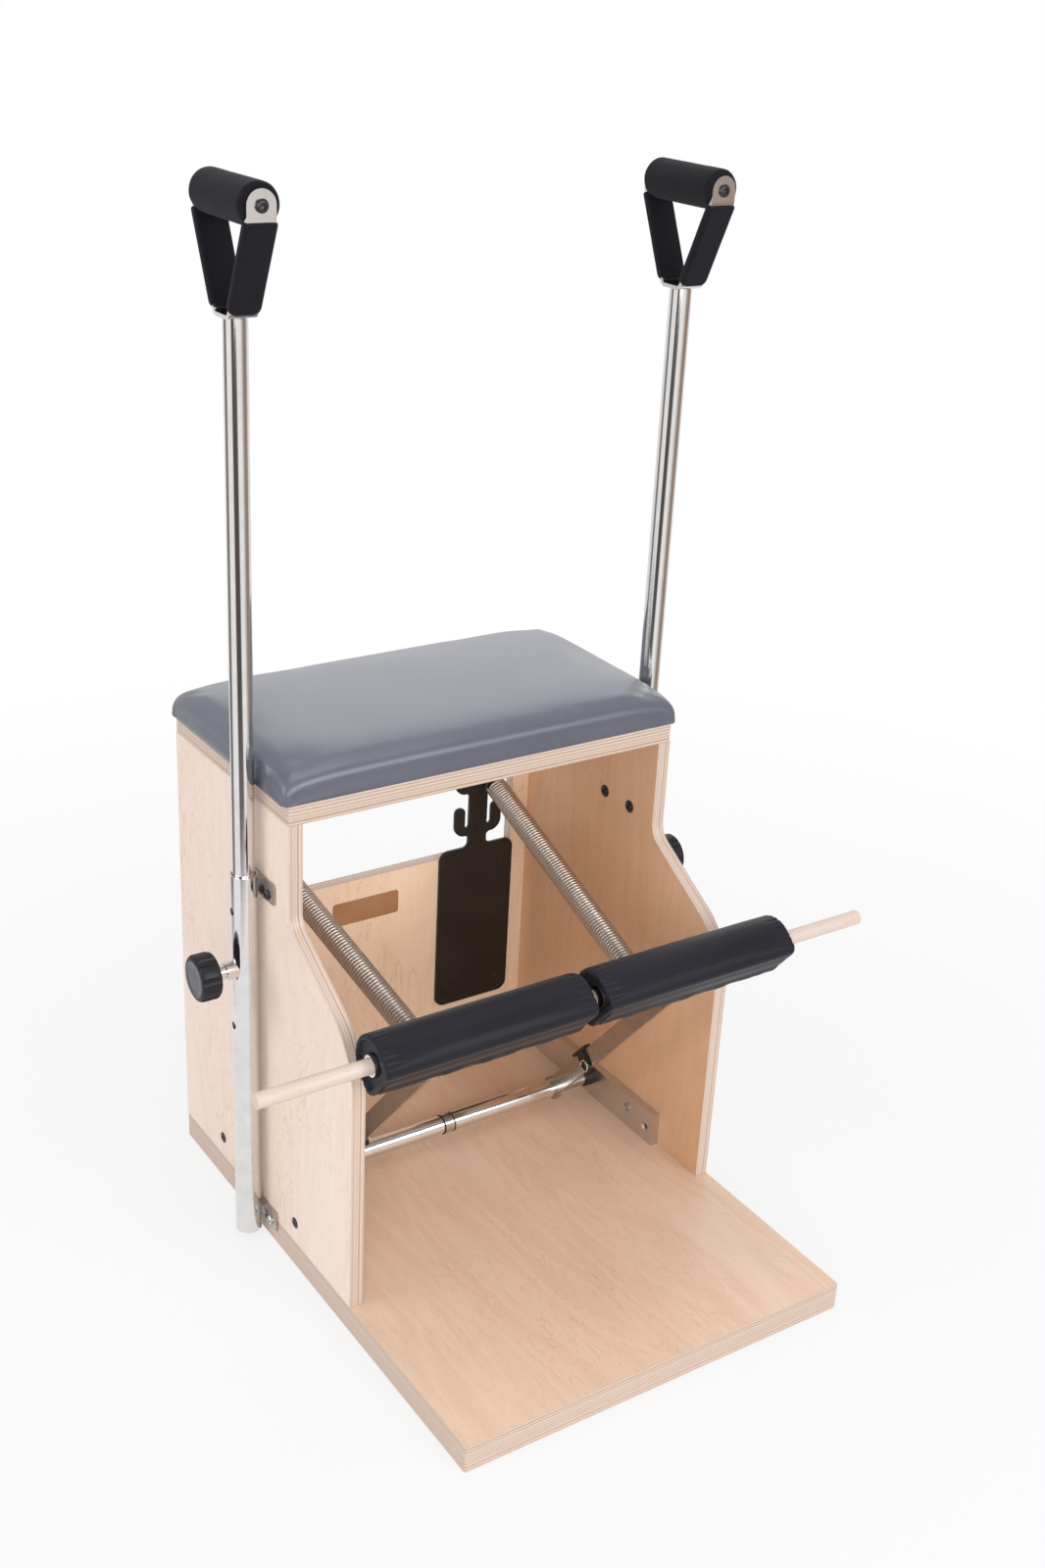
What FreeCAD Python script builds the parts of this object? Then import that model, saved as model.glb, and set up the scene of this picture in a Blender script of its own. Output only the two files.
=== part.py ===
import FreeCAD
import Part
import math
import os

# Pilates chair: a plywood frame with a padded seat, two sprung foot pedals locked together by a
# dowel, and two upright handles that slide in clamped sleeves at the sides.
# Millimetres, +Z up, the front at -Y, left at -X, origin on the floor under the middle.

V = FreeCAD.Vector

# Clearances
running_clearance = 0.05
seat_clearance = 0.3
hole_clearance = 0.2
cut_overrun = 2.0
same_point = 1e-6

# Plywood frame
chair_width = 560.0
base_depth = 753.0
base_thickness = 36.5
base_front_reach = 272.0
board_corner_radius = 3.0
panel_thickness = 18.0
seat_board_top = 652.0
seat_board_thickness = 26.0
seat_board_depth = 321.0
throat_drop = 133.0
throat_radius = 30.0
shoulder_drop = 93.0
shoulder_radius = 100.0
rear_panel_thickness = 18.0
rear_panel_inset = 6.0
rear_panel_height = 321.0
rear_stile_width = 27.0

# Seat cushion: each section is a share of the height and an inset share of the crown's reach
cushion_height = 43.0
cushion_overhang = 5.8
cushion_rear_inset = 2.0
cushion_crown_reach = 110.0
cushion_corner_radius = 16.0
cushion_section_shares = (
    (0.0, 0.011), (0.12, 0.004), (0.3, 0.0), (0.56, 0.004), (0.72, 0.022),
    (0.826, 0.064), (0.884, 0.136), (0.93, 0.27), (0.97, 0.5), (1.0, 1.0),
)
cushion_corner_growth_share = 0.2
loft_degree = 3

# Spring trees: flat steel plates with two pairs of hooks on a neck
tree_side_gap = 26.0
tree_thickness = 4.0
tree_plate_width = 125.0
tree_plate_height = 259.0
tree_plate_rise = 11.5
tree_corner_radius = 15.0
tree_neck_width = 31.0
tree_shoulder_radius = 8.0
tree_head_rise = 11.0
tree_head_radius = 12.0
hook_start = 19.0
hook_pitch = 67.0
hook_pairs = 2
hook_width = 24.0
hook_height = 46.0
hook_floor_height = 13.0
hook_root_radius = 6.0
hook_heel_radius = 17.5
hook_tip_radius = 8.0
slot_width = 6.5
slot_floor_share = 0.49
tree_screw_side_margin = 21.0
tree_screw_low_margin = 30.0
tree_screw_high_margin = 33.5
tree_screw_radius = 2.5
tree_screw_head_radius = 3.2
tree_screw_head_height = 1.2
tree_screw_bite = 14.0

# Axle and its brackets
axle_rise = 34.2
shaft_radius = 8.0
bracket_thickness = 12.0
bracket_length = 296.0
bracket_height = 49.5
spare_hole_reach = -131.0
spare_hole_rise = 22.0
spare_hole_radius = 4.0
spare_hole_sink_radius = 7.0
spare_hole_sink_depth = 3.0
bracket_bolt_reaches = (-89.0, 125.5)
bracket_bolt_rise = 30.0
bracket_bolt_radius = 4.0
bracket_bolt_head_radius = 7.5
bracket_bolt_head_height = 1.5
collar_wall = 5.5
collar_length = 14.0
washer_wall = 6.0
washer_thickness = 1.6
bush_wall = 5.0
bush_length = 17.0
spacer_wall = 2.0

# Locking dowel
dowel_radius = 9.5
dowel_overhang = 156.0
dowel_edge = 1.5
dowel_clearance = 0.5

# Pedals, measured along the arm from the axle and square to it
pedal_reach = 470.0
pedal_rest_angle = math.radians(50.0)
pad_lead = 66.1102
pedal_tube_wall = 4.7
arm_side_gap = 78.0
arm_thickness = 6.0
arm_depth = 25.4
arm_eye_wall = 9.0
guide_tube_wall = 3.0
guide_eye_wall = 5.0
pad_inner_end = 8.0
pad_overhang = 15.0
pad_radius = 36.5
pad_flat_depth = 28.0
pad_flat_corner = 12.0
pad_recess_margin = 9.0
pad_recess_depth = 5.0
pad_end_lengths = (0.0, 5.0, 17.0)
pad_end_shares = (0.86, 0.955, 1.0)
pad_crown_share = 1.02
spring_pin_setback = 108.0
spring_pin_radius = 4.0
spring_pin_side = 18.0
spring_pin_past = 12.0
spring_pin_head_radius = 8.0
spring_pin_head_height = 3.0
spring_pin_nut_radius = 7.0
spring_pin_nut_height = 5.0
clip_reach = 118.0
clip_length = 40.0
clip_thickness = 4.0
clip_tab_width = 18.0
clip_tab_drop = 34.0
clip_tab_radius = 8.0
clip_hole_radius = 4.0
clip_hole_drop = 20.0

# Pedal springs
spring_radius = 16.0
spring_wire_radius = 2.4
spring_turns = 48
coil_tail_room = 0.5
biarcs_per_turn = 2
samples_per_turn = 24
plug_length = 30.0
plug_radius = 6.0
plug_collar_radius = 15.0
plug_collar_length = 4.0
stud_side_clearance = 0.75
stud_free_length = 15.0
stud_lift = 4.7
stud_ball_radius = 7.0
stud_ball_reach = 11.4
link_wire_radius = 2.5
link_stem_length = 5.0
link_stem_radius = 4.0

# Poles, the sleeves that hold them, and the clamps
pole_inset = 81.0
pole_radius = 14.0
pole_wall = 2.0
pole_length = 1073.0
pole_rise = 666.0
guide_wall = 1.0
guide_length = 60.0
sleeve_wall = 2.0
sleeve_standoff = 3.4
sleeve_bottom = 7.5
sleeve_drop = 92.0
sleeve_hole_pitch = 81.0
sleeve_hole_radius = 5.0
boss_radius = 12.0
boss_length = 11.0
clamp_drop = 130.0
clamp_screw_radius = 5.0
clamp_neck_length = 14.0
clamp_collar_radius = 9.4
knob_radius = 30.0
knob_thickness = 26.5
knob_edge_radius = 5.0
knob_lobes = 7
knob_scallop_radius = 8.0
knob_scallop_depth = 3.0
knob_screw_depth = 18.0
saddle_plate = 3.0
saddle_height = 28.5
saddle_end_margin = 17.5
saddle_corner_radius = 4.0
saddle_bolt_margin = 11.5
saddle_bolt_rise = 8.5
upper_saddle_drop = 1.0
lower_saddle_rise = 12.5
cradle_depth = 11.0
cradle_wall = 3.0
saddle_bolt_radius = 3.0
saddle_bolt_head_radius = 6.5
saddle_bolt_head_height = 3.5
lower_screw_length = 30.0

# Handles
strap_width = 34.0
strap_thickness = 4.5
strap_foot_half = 17.0
strap_top_half = 64.0
strap_knee_rise = 108.0
strap_bend_radius = 6.0
grip_rise = 14.5
grip_radius = 24.2
grip_edge_radius = 4.0
grip_tube_radius = 9.0
grip_bolt_radius = 4.0
grip_bolt_length = 24.0
grip_bolt_head_radius = 7.5
grip_bolt_head_height = 3.5
grip_bolt_socket_radius = 3.0
grip_bolt_socket_depth = 2.5
leg_foam_side = 2.5
leg_foam_skin = 3.6
leg_foam_radius = 4.5
leg_foam_top_gap = 2.5
leg_foam_bottom_gap = 5.6

# Places worked out from the sizes above
half_width = chair_width / 2
panel_inner = half_width - panel_thickness
base_front = -base_depth / 2
base_rear = base_depth / 2
panel_front = base_front + base_front_reach
seat_front = base_rear - seat_board_depth
seat_board_bottom = seat_board_top - seat_board_thickness
throat_height = seat_board_bottom - throat_drop
shoulder_height = throat_height - shoulder_drop
rear_panel_top = base_thickness + rear_panel_height
rear_panel_front = base_rear - rear_panel_inset - rear_panel_thickness
tree_front = rear_panel_front - tree_thickness
tree_offset = panel_inner - tree_side_gap - tree_plate_width / 2
tree_plate_top = rear_panel_top + tree_plate_rise
tree_plate_bottom = tree_plate_top - tree_plate_height
tree_screw_length = tree_thickness + tree_screw_bite
neck_half = tree_neck_width / 2
last_hook_bottom = tree_plate_top + hook_start + (hook_pairs - 1) * hook_pitch
axle_y = panel_front - pad_lead + pedal_reach * math.cos(pedal_rest_angle)
axle_height = base_thickness + axle_rise
bracket_inner = panel_inner - bracket_thickness
bush_inner = bracket_inner - bush_length
arm_outer = panel_inner - arm_side_gap
arm_inner = arm_outer - arm_thickness
shaft_bore_radius = shaft_radius + running_clearance
collar_radius = shaft_radius + collar_wall
washer_radius = shaft_radius + washer_wall
bush_radius = shaft_radius + bush_wall
spacer_radius = shaft_radius + spacer_wall
pedal_tube_radius = shaft_radius + pedal_tube_wall
washer_end = collar_length / 2 + washer_thickness
guide_tube_bore_radius = dowel_radius + dowel_clearance
guide_tube_radius = guide_tube_bore_radius + guide_tube_wall
pad_outer_end = half_width + pad_overhang
spring_pin_offset = arm_inner - spring_pin_side
spring_pin_reach = pedal_reach - spring_pin_setback
pin_bore_radius = spring_pin_radius + hole_clearance
stud_radius = slot_width / 2 - stud_side_clearance
link_eye_radius = spring_pin_radius + seat_clearance + link_wire_radius
link_collar_start = link_eye_radius + link_wire_radius + link_stem_length
pole_y = seat_front + pole_inset
sleeve_bore_radius = pole_radius + guide_wall
sleeve_radius = sleeve_bore_radius + sleeve_wall
pole_x = half_width + sleeve_standoff + sleeve_radius
sleeve_top = seat_board_bottom - sleeve_drop
pole_top = sleeve_top + pole_rise
pole_bottom = pole_top - pole_length
knob_height = sleeve_top - clamp_drop
boss_end = pole_x + sleeve_radius + boss_length
knob_start = boss_end + clamp_neck_length
upper_saddle_bottom = sleeve_top - upper_saddle_drop - saddle_height
lower_saddle_bottom = sleeve_bottom + lower_saddle_rise
upper_bolt_height = upper_saddle_bottom + saddle_bolt_rise
lower_screw_height = lower_saddle_bottom + saddle_bolt_rise
saddle_bolt_reach = sleeve_radius + saddle_bolt_margin
saddle_half = saddle_bolt_reach + saddle_end_margin
cradle_half = sleeve_radius + cradle_wall
strap_middle = pole_top + strap_thickness / 2
strap_knee_height = pole_top + strap_knee_rise
grip_height = strap_knee_height + grip_rise
grip_half = strap_top_half - strap_thickness / 2
X_AXIS = V(1, 0, 0)
Y_AXIS = V(0, 1, 0)
Z_AXIS = V(0, 0, 1)
ORIGIN = V(0, 0, 0)
SIDES = (("left", -1), ("right", 1))


def box(low, high):
    return Part.makeBox(high.x - low.x, high.y - low.y, high.z - low.z, low)


def rod(radius, start, end):
    return Part.makeCylinder(radius, (end - start).Length, start, end - start)


def bore(radius, start, end):
    past = (end - start).normalize() * cut_overrun
    return rod(radius, start - past, end + past)


def tube(radius, bore_radius, start, end):
    return rod(radius, start, end).cut(bore(bore_radius, start, end))


def joined(*shapes):
    return shapes[0].fuse(list(shapes[1:])).removeSplitter()


def mirrored(shape):
    return shape.mirror(ORIGIN, X_AXIS)


def save(name, *shapes):
    shape = shapes[0] if len(shapes) == 1 else Part.makeCompound(list(shapes))
    shape.exportStep("parts/" + name + ".step")


def save_pair(name, *shapes):
    save("right_" + name, *shapes)
    save("left_" + name, *[mirrored(shape) for shape in shapes])


def floor_plane(z):
    return lambda point: V(point.x, point.y, z)


def front_plane(y):
    return lambda point: V(point.x, y, point.y)


def side_plane(x):
    return lambda point: V(x, point.x, point.y)


def arm_plane(x):
    along = V(0, -math.cos(pedal_rest_angle), math.sin(pedal_rest_angle))
    across = V(0, math.sin(pedal_rest_angle), math.cos(pedal_rest_angle))
    axle = V(x, axle_y, axle_height)
    return lambda point: axle + along * point.x + across * point.y


def arm_point(x, reach, offset=0):
    return arm_plane(x)(V(reach, offset, 0))


def rounded_wire(corners, place):
    """Closed outline through (a, b, radius) corners, each rounded by a tangent arc."""
    ends = []
    count = len(corners)
    for index, (a, b, radius) in enumerate(corners):
        here = V(a, b, 0)
        before = (V(*corners[index - 1][:2]) - here).normalize()
        after = (V(*corners[(index + 1) % count][:2]) - here).normalize()
        half_angle = before.getAngle(after) / 2
        reach = radius / math.tan(half_angle)
        middle = here + (before + after).normalize() * (radius / math.sin(half_angle) - radius)
        ends.append((here + before * reach, middle, here + after * reach))
    edges = []
    for index, (start, middle, end) in enumerate(ends):
        if (end - start).Length > same_point:
            edges.append(Part.Arc(place(start), place(middle), place(end)).toShape())
        following = ends[(index + 1) % count][0]
        if (following - end).Length > same_point:
            edges.append(Part.LineSegment(place(end), place(following)).toShape())
    return Part.Wire(edges)


def plate(corners, place, sweep):
    return Part.Face(rounded_wire(corners, place)).extrude(sweep)


def rectangle(low_a, low_b, high_a, high_b, radius):
    spots = ((low_a, low_b), (high_a, low_b), (high_a, high_b), (low_a, high_b))
    return [(a, b, radius) for a, b in spots]


def turned(corners, centre, axis_way, out_way):
    """Solid of revolution from (radius, distance along the axis, rounding) corners."""
    wire = rounded_wire(corners, lambda point: centre + out_way * point.x + axis_way * point.y)
    return Part.Face(wire).revolve(centre, axis_way, 360)


def saddle_bolt_points(x, z):
    return [V(x, pole_y - saddle_bolt_reach, z), V(x, pole_y + saddle_bolt_reach, z)]


def bracket_bolt_points(x):
    return [V(x, axle_y + reach, base_thickness + bracket_bolt_rise) for reach in bracket_bolt_reaches]


def make_base():
    corners = rectangle(-half_width, base_front, half_width, base_rear, board_corner_radius)
    board = plate(corners, floor_plane(0), Z_AXIS * base_thickness)
    for side in (-1, 1):
        for point in saddle_bolt_points(side * half_width, lower_screw_height):
            inward = X_AXIS * (-side * lower_screw_length)
            board = board.cut(bore(saddle_bolt_radius + hole_clearance, point, point + inward))
    save("base_board", board)


def make_side_panels():
    corners = [
        (panel_front, base_thickness, 0),
        (panel_front, shoulder_height, shoulder_radius),
        (seat_front, throat_height, throat_radius),
        (seat_front, seat_board_bottom, 0),
        (base_rear, seat_board_bottom, 0),
        (base_rear, base_thickness, 0),
    ]
    panel = plate(corners, side_plane(panel_inner), X_AXIS * panel_thickness)
    through = X_AXIS * panel_thickness
    for point in bracket_bolt_points(panel_inner):
        panel = panel.cut(bore(bracket_bolt_radius + hole_clearance, point, point + through))
    for point in saddle_bolt_points(panel_inner, upper_bolt_height):
        panel = panel.cut(bore(saddle_bolt_radius + hole_clearance, point, point + through))
    save_pair("side_panel", panel)


def make_seat_board():
    corners = rectangle(-half_width, seat_front, half_width, base_rear, board_corner_radius)
    save("seat_board", plate(corners, floor_plane(seat_board_bottom), Z_AXIS * seat_board_thickness))


def make_cushion():
    sections = []
    for height_share, inset_share in cushion_section_shares:
        inset = inset_share * cushion_crown_reach
        half = half_width + cushion_overhang - inset
        front = seat_front - cushion_overhang + inset
        radius = cushion_corner_radius + inset * cushion_corner_growth_share
        rear = base_rear - cushion_rear_inset - inset
        corners = rectangle(-half, front, half, rear, radius)
        sections.append(rounded_wire(corners, floor_plane(seat_board_top + height_share * cushion_height)))
    save("seat_cushion", Part.makeLoft(sections, True, False, False, loft_degree))


def tree_screw_points(y):
    half_spread = tree_plate_width / 2 - tree_screw_side_margin
    points = []
    for side in (-1, 1):
        for x in (-half_spread, half_spread):
            for z in (tree_plate_bottom + tree_screw_low_margin, tree_plate_top - tree_screw_high_margin):
                points.append(V(side * tree_offset + x, y, z))
    return points


def make_rear_panel():
    rear = rear_panel_front + rear_panel_thickness
    panel = box(V(-panel_inner, rear_panel_front, base_thickness), V(panel_inner, rear, seat_board_bottom))
    window_half = panel_inner - rear_stile_width
    past = V(0, cut_overrun, 0)
    window_low = V(-window_half, rear_panel_front, rear_panel_top) - past
    window_high = V(window_half, rear, seat_board_bottom + cut_overrun) + past
    panel = panel.cut(box(window_low, window_high))
    for point in tree_screw_points(tree_front):
        panel = panel.cut(rod(tree_screw_radius + hole_clearance, point, point + Y_AXIS * tree_screw_length))
    save("rear_panel", panel)


def tree_corners():
    half_plate = tree_plate_width / 2
    slot_outer = neck_half + slot_width
    slot_radius = slot_width * slot_floor_share
    hook_reach = neck_half + hook_width
    half = [
        (half_plate, tree_plate_bottom, tree_corner_radius),
        (half_plate, tree_plate_top, tree_corner_radius),
        (neck_half, tree_plate_top, tree_shoulder_radius),
    ]
    for pair in range(hook_pairs):
        bottom = tree_plate_top + hook_start + pair * hook_pitch
        half += [
            (neck_half, bottom, hook_root_radius),
            (hook_reach, bottom, hook_heel_radius),
            (hook_reach, bottom + hook_height, hook_tip_radius),
            (slot_outer, bottom + hook_height, hook_tip_radius),
            (slot_outer, bottom + hook_floor_height, slot_radius),
            (neck_half, bottom + hook_floor_height, slot_radius),
        ]
    half.append((neck_half, last_hook_bottom + hook_height + tree_head_rise, tree_head_radius))
    return half + [(-x, z, radius) for x, z, radius in reversed(half)]


def make_trees():
    tree = plate(tree_corners(), front_plane(tree_front), Y_AXIS * tree_thickness)
    tree.translate(X_AXIS * tree_offset)
    screws = []
    for point in tree_screw_points(tree_front):
        tree = tree.cut(bore(tree_screw_radius + hole_clearance, point, point + Y_AXIS * tree_thickness))
        head = turned(
            [
                (0, 0, 0),
                (tree_screw_head_radius, 0, 0),
                (tree_screw_head_radius, tree_screw_head_height, tree_screw_head_height / 2),
                (0, tree_screw_head_height, 0),
            ],
            point, -Y_AXIS, X_AXIS,
        )
        shank_end = point + Y_AXIS * (tree_screw_length - seat_clearance)
        screws.append(joined(head, rod(tree_screw_radius, point, shank_end)))
    save_pair("spring_tree", tree)
    save("tree_screws", *screws)


def make_axle():
    half_bar = bracket_length / 2
    bar_start = V(bracket_inner, axle_y - half_bar, base_thickness)
    bar = box(bar_start, V(panel_inner, axle_y + half_bar, base_thickness + bracket_height))
    inner_axle = V(bracket_inner, axle_y, axle_height)
    through = X_AXIS * bracket_thickness
    bar = bar.cut(bore(shaft_bore_radius, inner_axle, inner_axle + through))
    spare = V(bracket_inner, axle_y + spare_hole_reach, base_thickness + spare_hole_rise)
    bar = bar.cut(bore(spare_hole_radius, spare, spare + through))
    sink = Part.makeCone(spare_hole_sink_radius, spare_hole_radius, spare_hole_sink_depth, spare, X_AXIS)
    bar = bar.cut(sink)
    bolts = []
    for inner in bracket_bolt_points(bracket_inner):
        outer = V(half_width, inner.y, inner.z)
        bar = bar.cut(bore(bracket_bolt_radius + hole_clearance, inner, inner + through))
        head = X_AXIS * bracket_bolt_head_height
        bolt = joined(
            rod(bracket_bolt_head_radius, inner - head, inner),
            rod(bracket_bolt_radius, inner, outer),
            rod(bracket_bolt_head_radius, outer, outer + head),
        )
        bolts += [bolt, mirrored(bolt)]
    save_pair("axle_bracket", bar)
    save("bracket_bolts", *bolts)

    def axle(x):
        return V(x, axle_y, axle_height)

    collar_half = collar_length / 2
    save("axle_shaft", rod(shaft_radius, axle(-panel_inner), axle(panel_inner)))
    save("axle_collar", tube(collar_radius, shaft_bore_radius, axle(-collar_half), axle(collar_half)))
    washer = tube(washer_radius, shaft_bore_radius, axle(collar_half), axle(washer_end))
    bush = tube(bush_radius, shaft_bore_radius, axle(bush_inner), axle(bracket_inner))
    save("axle_bushes", washer, mirrored(washer), bush, mirrored(bush))
    spacer = tube(spacer_radius, shaft_bore_radius, axle(arm_outer + seat_clearance), axle(bush_inner))
    save("axle_spacers", spacer, mirrored(spacer))


def arm_blank(clearance):
    """The arm's outline, larger all round by a clearance."""
    half = arm_depth / 2 + clearance
    inner = arm_inner - clearance
    sweep = X_AXIS * (arm_thickness + 2 * clearance)
    bar = plate(rectangle(0, -half, pedal_reach, half, 0), arm_plane(inner), sweep)
    eyes = []
    axle_eye = shaft_radius + arm_eye_wall
    guide_eye = guide_tube_radius + guide_eye_wall
    for reach, radius in ((0, axle_eye), (pedal_reach, guide_eye)):
        start = arm_point(inner, reach)
        eyes.append(rod(radius + clearance, start, start + sweep))
    return joined(bar, *eyes)


def pad_length(stations):
    """Length of padding through (x, share of the full section) stations."""
    sections = []
    for x, share in stations:
        radius = pad_radius * share
        flat = -pad_flat_depth * share
        corner = pad_flat_corner * share
        corners = [
            (pedal_reach + radius, flat, corner),
            (pedal_reach + radius, radius, radius),
            (pedal_reach - radius, radius, radius),
            (pedal_reach - radius, flat, corner),
        ]
        sections.append(rounded_wire(corners, arm_plane(x)))
    return Part.makeLoft(sections, True)


def make_pad(guide_start, guide_end):
    ends = list(zip(pad_end_lengths, pad_end_shares))
    inner = [(pad_inner_end + length, share) for length, share in ends]
    outer = [(pad_outer_end - length, share) for length, share in ends]
    crown = ((pad_inner_end + pad_outer_end) / 2, pad_crown_share)
    pad = joined(pad_length(inner), pad_length([inner[-1], crown, outer[-1]]), pad_length(outer))
    pad = pad.cut(bore(guide_tube_radius + running_clearance, guide_start, guide_end))
    recess = X_AXIS * pad_recess_depth
    pad = pad.cut(rod(guide_tube_radius + pad_recess_margin, guide_end - recess, guide_end + recess))
    return pad.cut(arm_blank(seat_clearance))


def make_pedals():
    axle_start = V(washer_end + seat_clearance, axle_y, axle_height)
    axle_end = V(arm_inner, axle_y, axle_height)
    save_pair("pedal_tube", tube(pedal_tube_radius, shaft_bore_radius, axle_start, axle_end))

    through = X_AXIS * arm_thickness
    guide_start = arm_point(pad_inner_end, pedal_reach)
    guide_end = arm_point(pad_outer_end, pedal_reach)
    pin_face = arm_point(arm_outer, spring_pin_reach)
    arm = arm_blank(0).cut(bore(shaft_bore_radius, axle_end, axle_end + through))
    arm = arm.cut(bore(guide_tube_radius + running_clearance, guide_start, guide_end))
    arm = arm.cut(bore(pin_bore_radius, pin_face - through, pin_face))
    save_pair("pedal_arm", arm)
    save_pair("guide_tube", tube(guide_tube_radius, guide_tube_bore_radius, guide_start, guide_end))
    save_pair("pedal_pad", make_pad(guide_start, guide_end))

    pin_tip = arm_point(spring_pin_offset - spring_pin_past, spring_pin_reach)
    pin = joined(
        rod(spring_pin_head_radius, pin_tip - X_AXIS * spring_pin_head_height, pin_tip),
        rod(spring_pin_radius, pin_tip, pin_face),
        rod(spring_pin_nut_radius, pin_face, pin_face + X_AXIS * spring_pin_nut_height),
    )
    save_pair("spring_pin", pin)

    back = arm_depth / 2
    strip_width = X_AXIS * (arm_thickness + clip_thickness)
    strip_start = clip_reach - clip_length / 2
    strip = plate(
        rectangle(strip_start, back, strip_start + clip_length, back + clip_thickness, 0),
        arm_plane(arm_inner - clip_thickness), strip_width,
    )
    tab_low = back + clip_thickness - clip_tab_drop
    tab_half = clip_tab_width / 2
    tab = plate(
        [
            (clip_reach - tab_half, tab_low, clip_tab_radius),
            (clip_reach + tab_half, tab_low, clip_tab_radius),
            (clip_reach + tab_half, back, 0),
            (clip_reach - tab_half, back, 0),
        ],
        arm_plane(arm_inner - clip_thickness), X_AXIS * clip_thickness,
    )
    hole = arm_point(arm_inner, clip_reach, back - clip_hole_drop)
    hole_depth = X_AXIS * clip_thickness
    save_pair("arm_clip", joined(strip, tab).cut(bore(clip_hole_radius, hole - hole_depth, hole)))

    dowel_half = half_width + dowel_overhang
    dowel = turned(
        [
            (0, -dowel_half, 0),
            (dowel_radius, -dowel_half, dowel_edge),
            (dowel_radius, dowel_half, dowel_edge),
            (0, dowel_half, 0),
        ],
        arm_point(0, pedal_reach), X_AXIS, Z_AXIS,
    )
    save("locking_dowel", dowel)


def tangent_arc(start, corner, end):
    """Arc whose end tangents meet at a corner equally far from both ends."""
    reach = (start - corner).Length
    leg = (start - corner).normalize()
    bisector = (leg + (end - corner).normalize()).normalize()
    cosine = leg.dot(bisector)
    radius = reach * math.sqrt(1 - cosine * cosine) / cosine
    return Part.Arc(start, corner + bisector * (reach / cosine - radius), end).toShape()


def biarc(start, start_way, end, end_way):
    chord = end - start
    spread = 2 * (1 - start_way.dot(end_way))
    lean = chord.dot(start_way + end_way)
    reach = (math.sqrt(lean * lean + spread * chord.dot(chord)) - lean) / spread
    first = start + start_way * reach
    second = end - end_way * reach
    middle = first + (second - first) * (1 / 2)
    return [tangent_arc(start, first, middle), tangent_arc(middle, second, end)]


def make_coil(start, end, out_way):
    """Unbroken wire coil from start to end, its tails straight for one wire diameter."""
    axis = (end - start).normalize()
    across = axis.cross(out_way)
    end_room = spring_wire_radius + coil_tail_room
    first = start + axis * end_room
    pitch = ((end - start).Length - 2 * end_room) / spring_turns
    radius = spring_radius - spring_wire_radius

    def spot(turn):
        angle = 2 * math.pi * turn
        round_way = out_way * math.cos(angle) + across * math.sin(angle)
        return first + axis * (pitch * turn) + round_way * radius

    def way(turn):
        angle = 2 * math.pi * turn
        round_way = across * math.cos(angle) - out_way * math.sin(angle)
        return (round_way * (2 * math.pi * radius) + axis * pitch).normalize()

    wire_diameter = 2 * spring_wire_radius
    tail = spot(0) - way(0) * wire_diameter
    edges = [Part.LineSegment(tail, spot(0)).toShape()]
    turns = [step / biarcs_per_turn for step in range(spring_turns * biarcs_per_turn + 1)]
    for turn, following in zip(turns, turns[1:]):
        edges += biarc(spot(turn), way(turn), spot(following), way(following))
    last = spot(spring_turns)
    edges.append(Part.LineSegment(last, last + way(spring_turns) * wire_diameter).toShape())
    profile = Part.Wire(Part.makeCircle(spring_wire_radius, tail, way(0)))
    coil = Part.Wire(edges).makePipeShell([profile], True)

    spots = [spot(step / samples_per_turn) for step in range(spring_turns * samples_per_turn + 1)]
    skip = samples_per_turn // 2
    gaps = [
        (spots[low] - spots[high]).Length
        for low in range(len(spots))
        for high in range(low + skip, min(low + 2 * samples_per_turn, len(spots)))
    ]
    print("coil least gap to itself", round(min(gaps) - wire_diameter, 2))
    return coil


def make_springs():
    for name, side in SIDES:
        slot_x = tree_offset + neck_half + slot_width / 2
        anchor_height = last_hook_bottom + hook_floor_height + stud_lift
        anchor = V(side * slot_x, tree_front + tree_thickness / 2, anchor_height)
        pin = arm_point(side * spring_pin_offset, spring_pin_reach)
        axis = (anchor - pin).normalize()
        out_way = (X_AXIS - axis * X_AXIS.dot(axis)).normalize()

        collar_top = anchor - axis * stud_free_length
        collar_low = collar_top - axis * plug_collar_length
        ball = anchor + axis * stud_ball_reach
        stud = joined(
            Part.makeSphere(stud_ball_radius, ball),
            rod(stud_radius, collar_top, ball),
            rod(plug_collar_radius, collar_low, collar_top),
            rod(plug_radius, collar_low - axis * plug_length, collar_low),
        )
        save(name + "_spring_stud", stud)

        collar_start = pin + axis * link_collar_start
        plug_start = collar_start + axis * plug_collar_length
        link = joined(
            Part.makeTorus(link_eye_radius, link_wire_radius, pin, X_AXIS),
            rod(link_stem_radius, pin + axis * link_eye_radius, collar_start),
            rod(plug_collar_radius, collar_start, plug_start),
            rod(plug_radius, plug_start, plug_start + axis * plug_length),
        )
        save(name + "_spring_link", link)
        coil_gap = axis * seat_clearance
        save(name + "_spring", make_coil(plug_start + coil_gap, collar_low - coil_gap, out_way))


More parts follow.
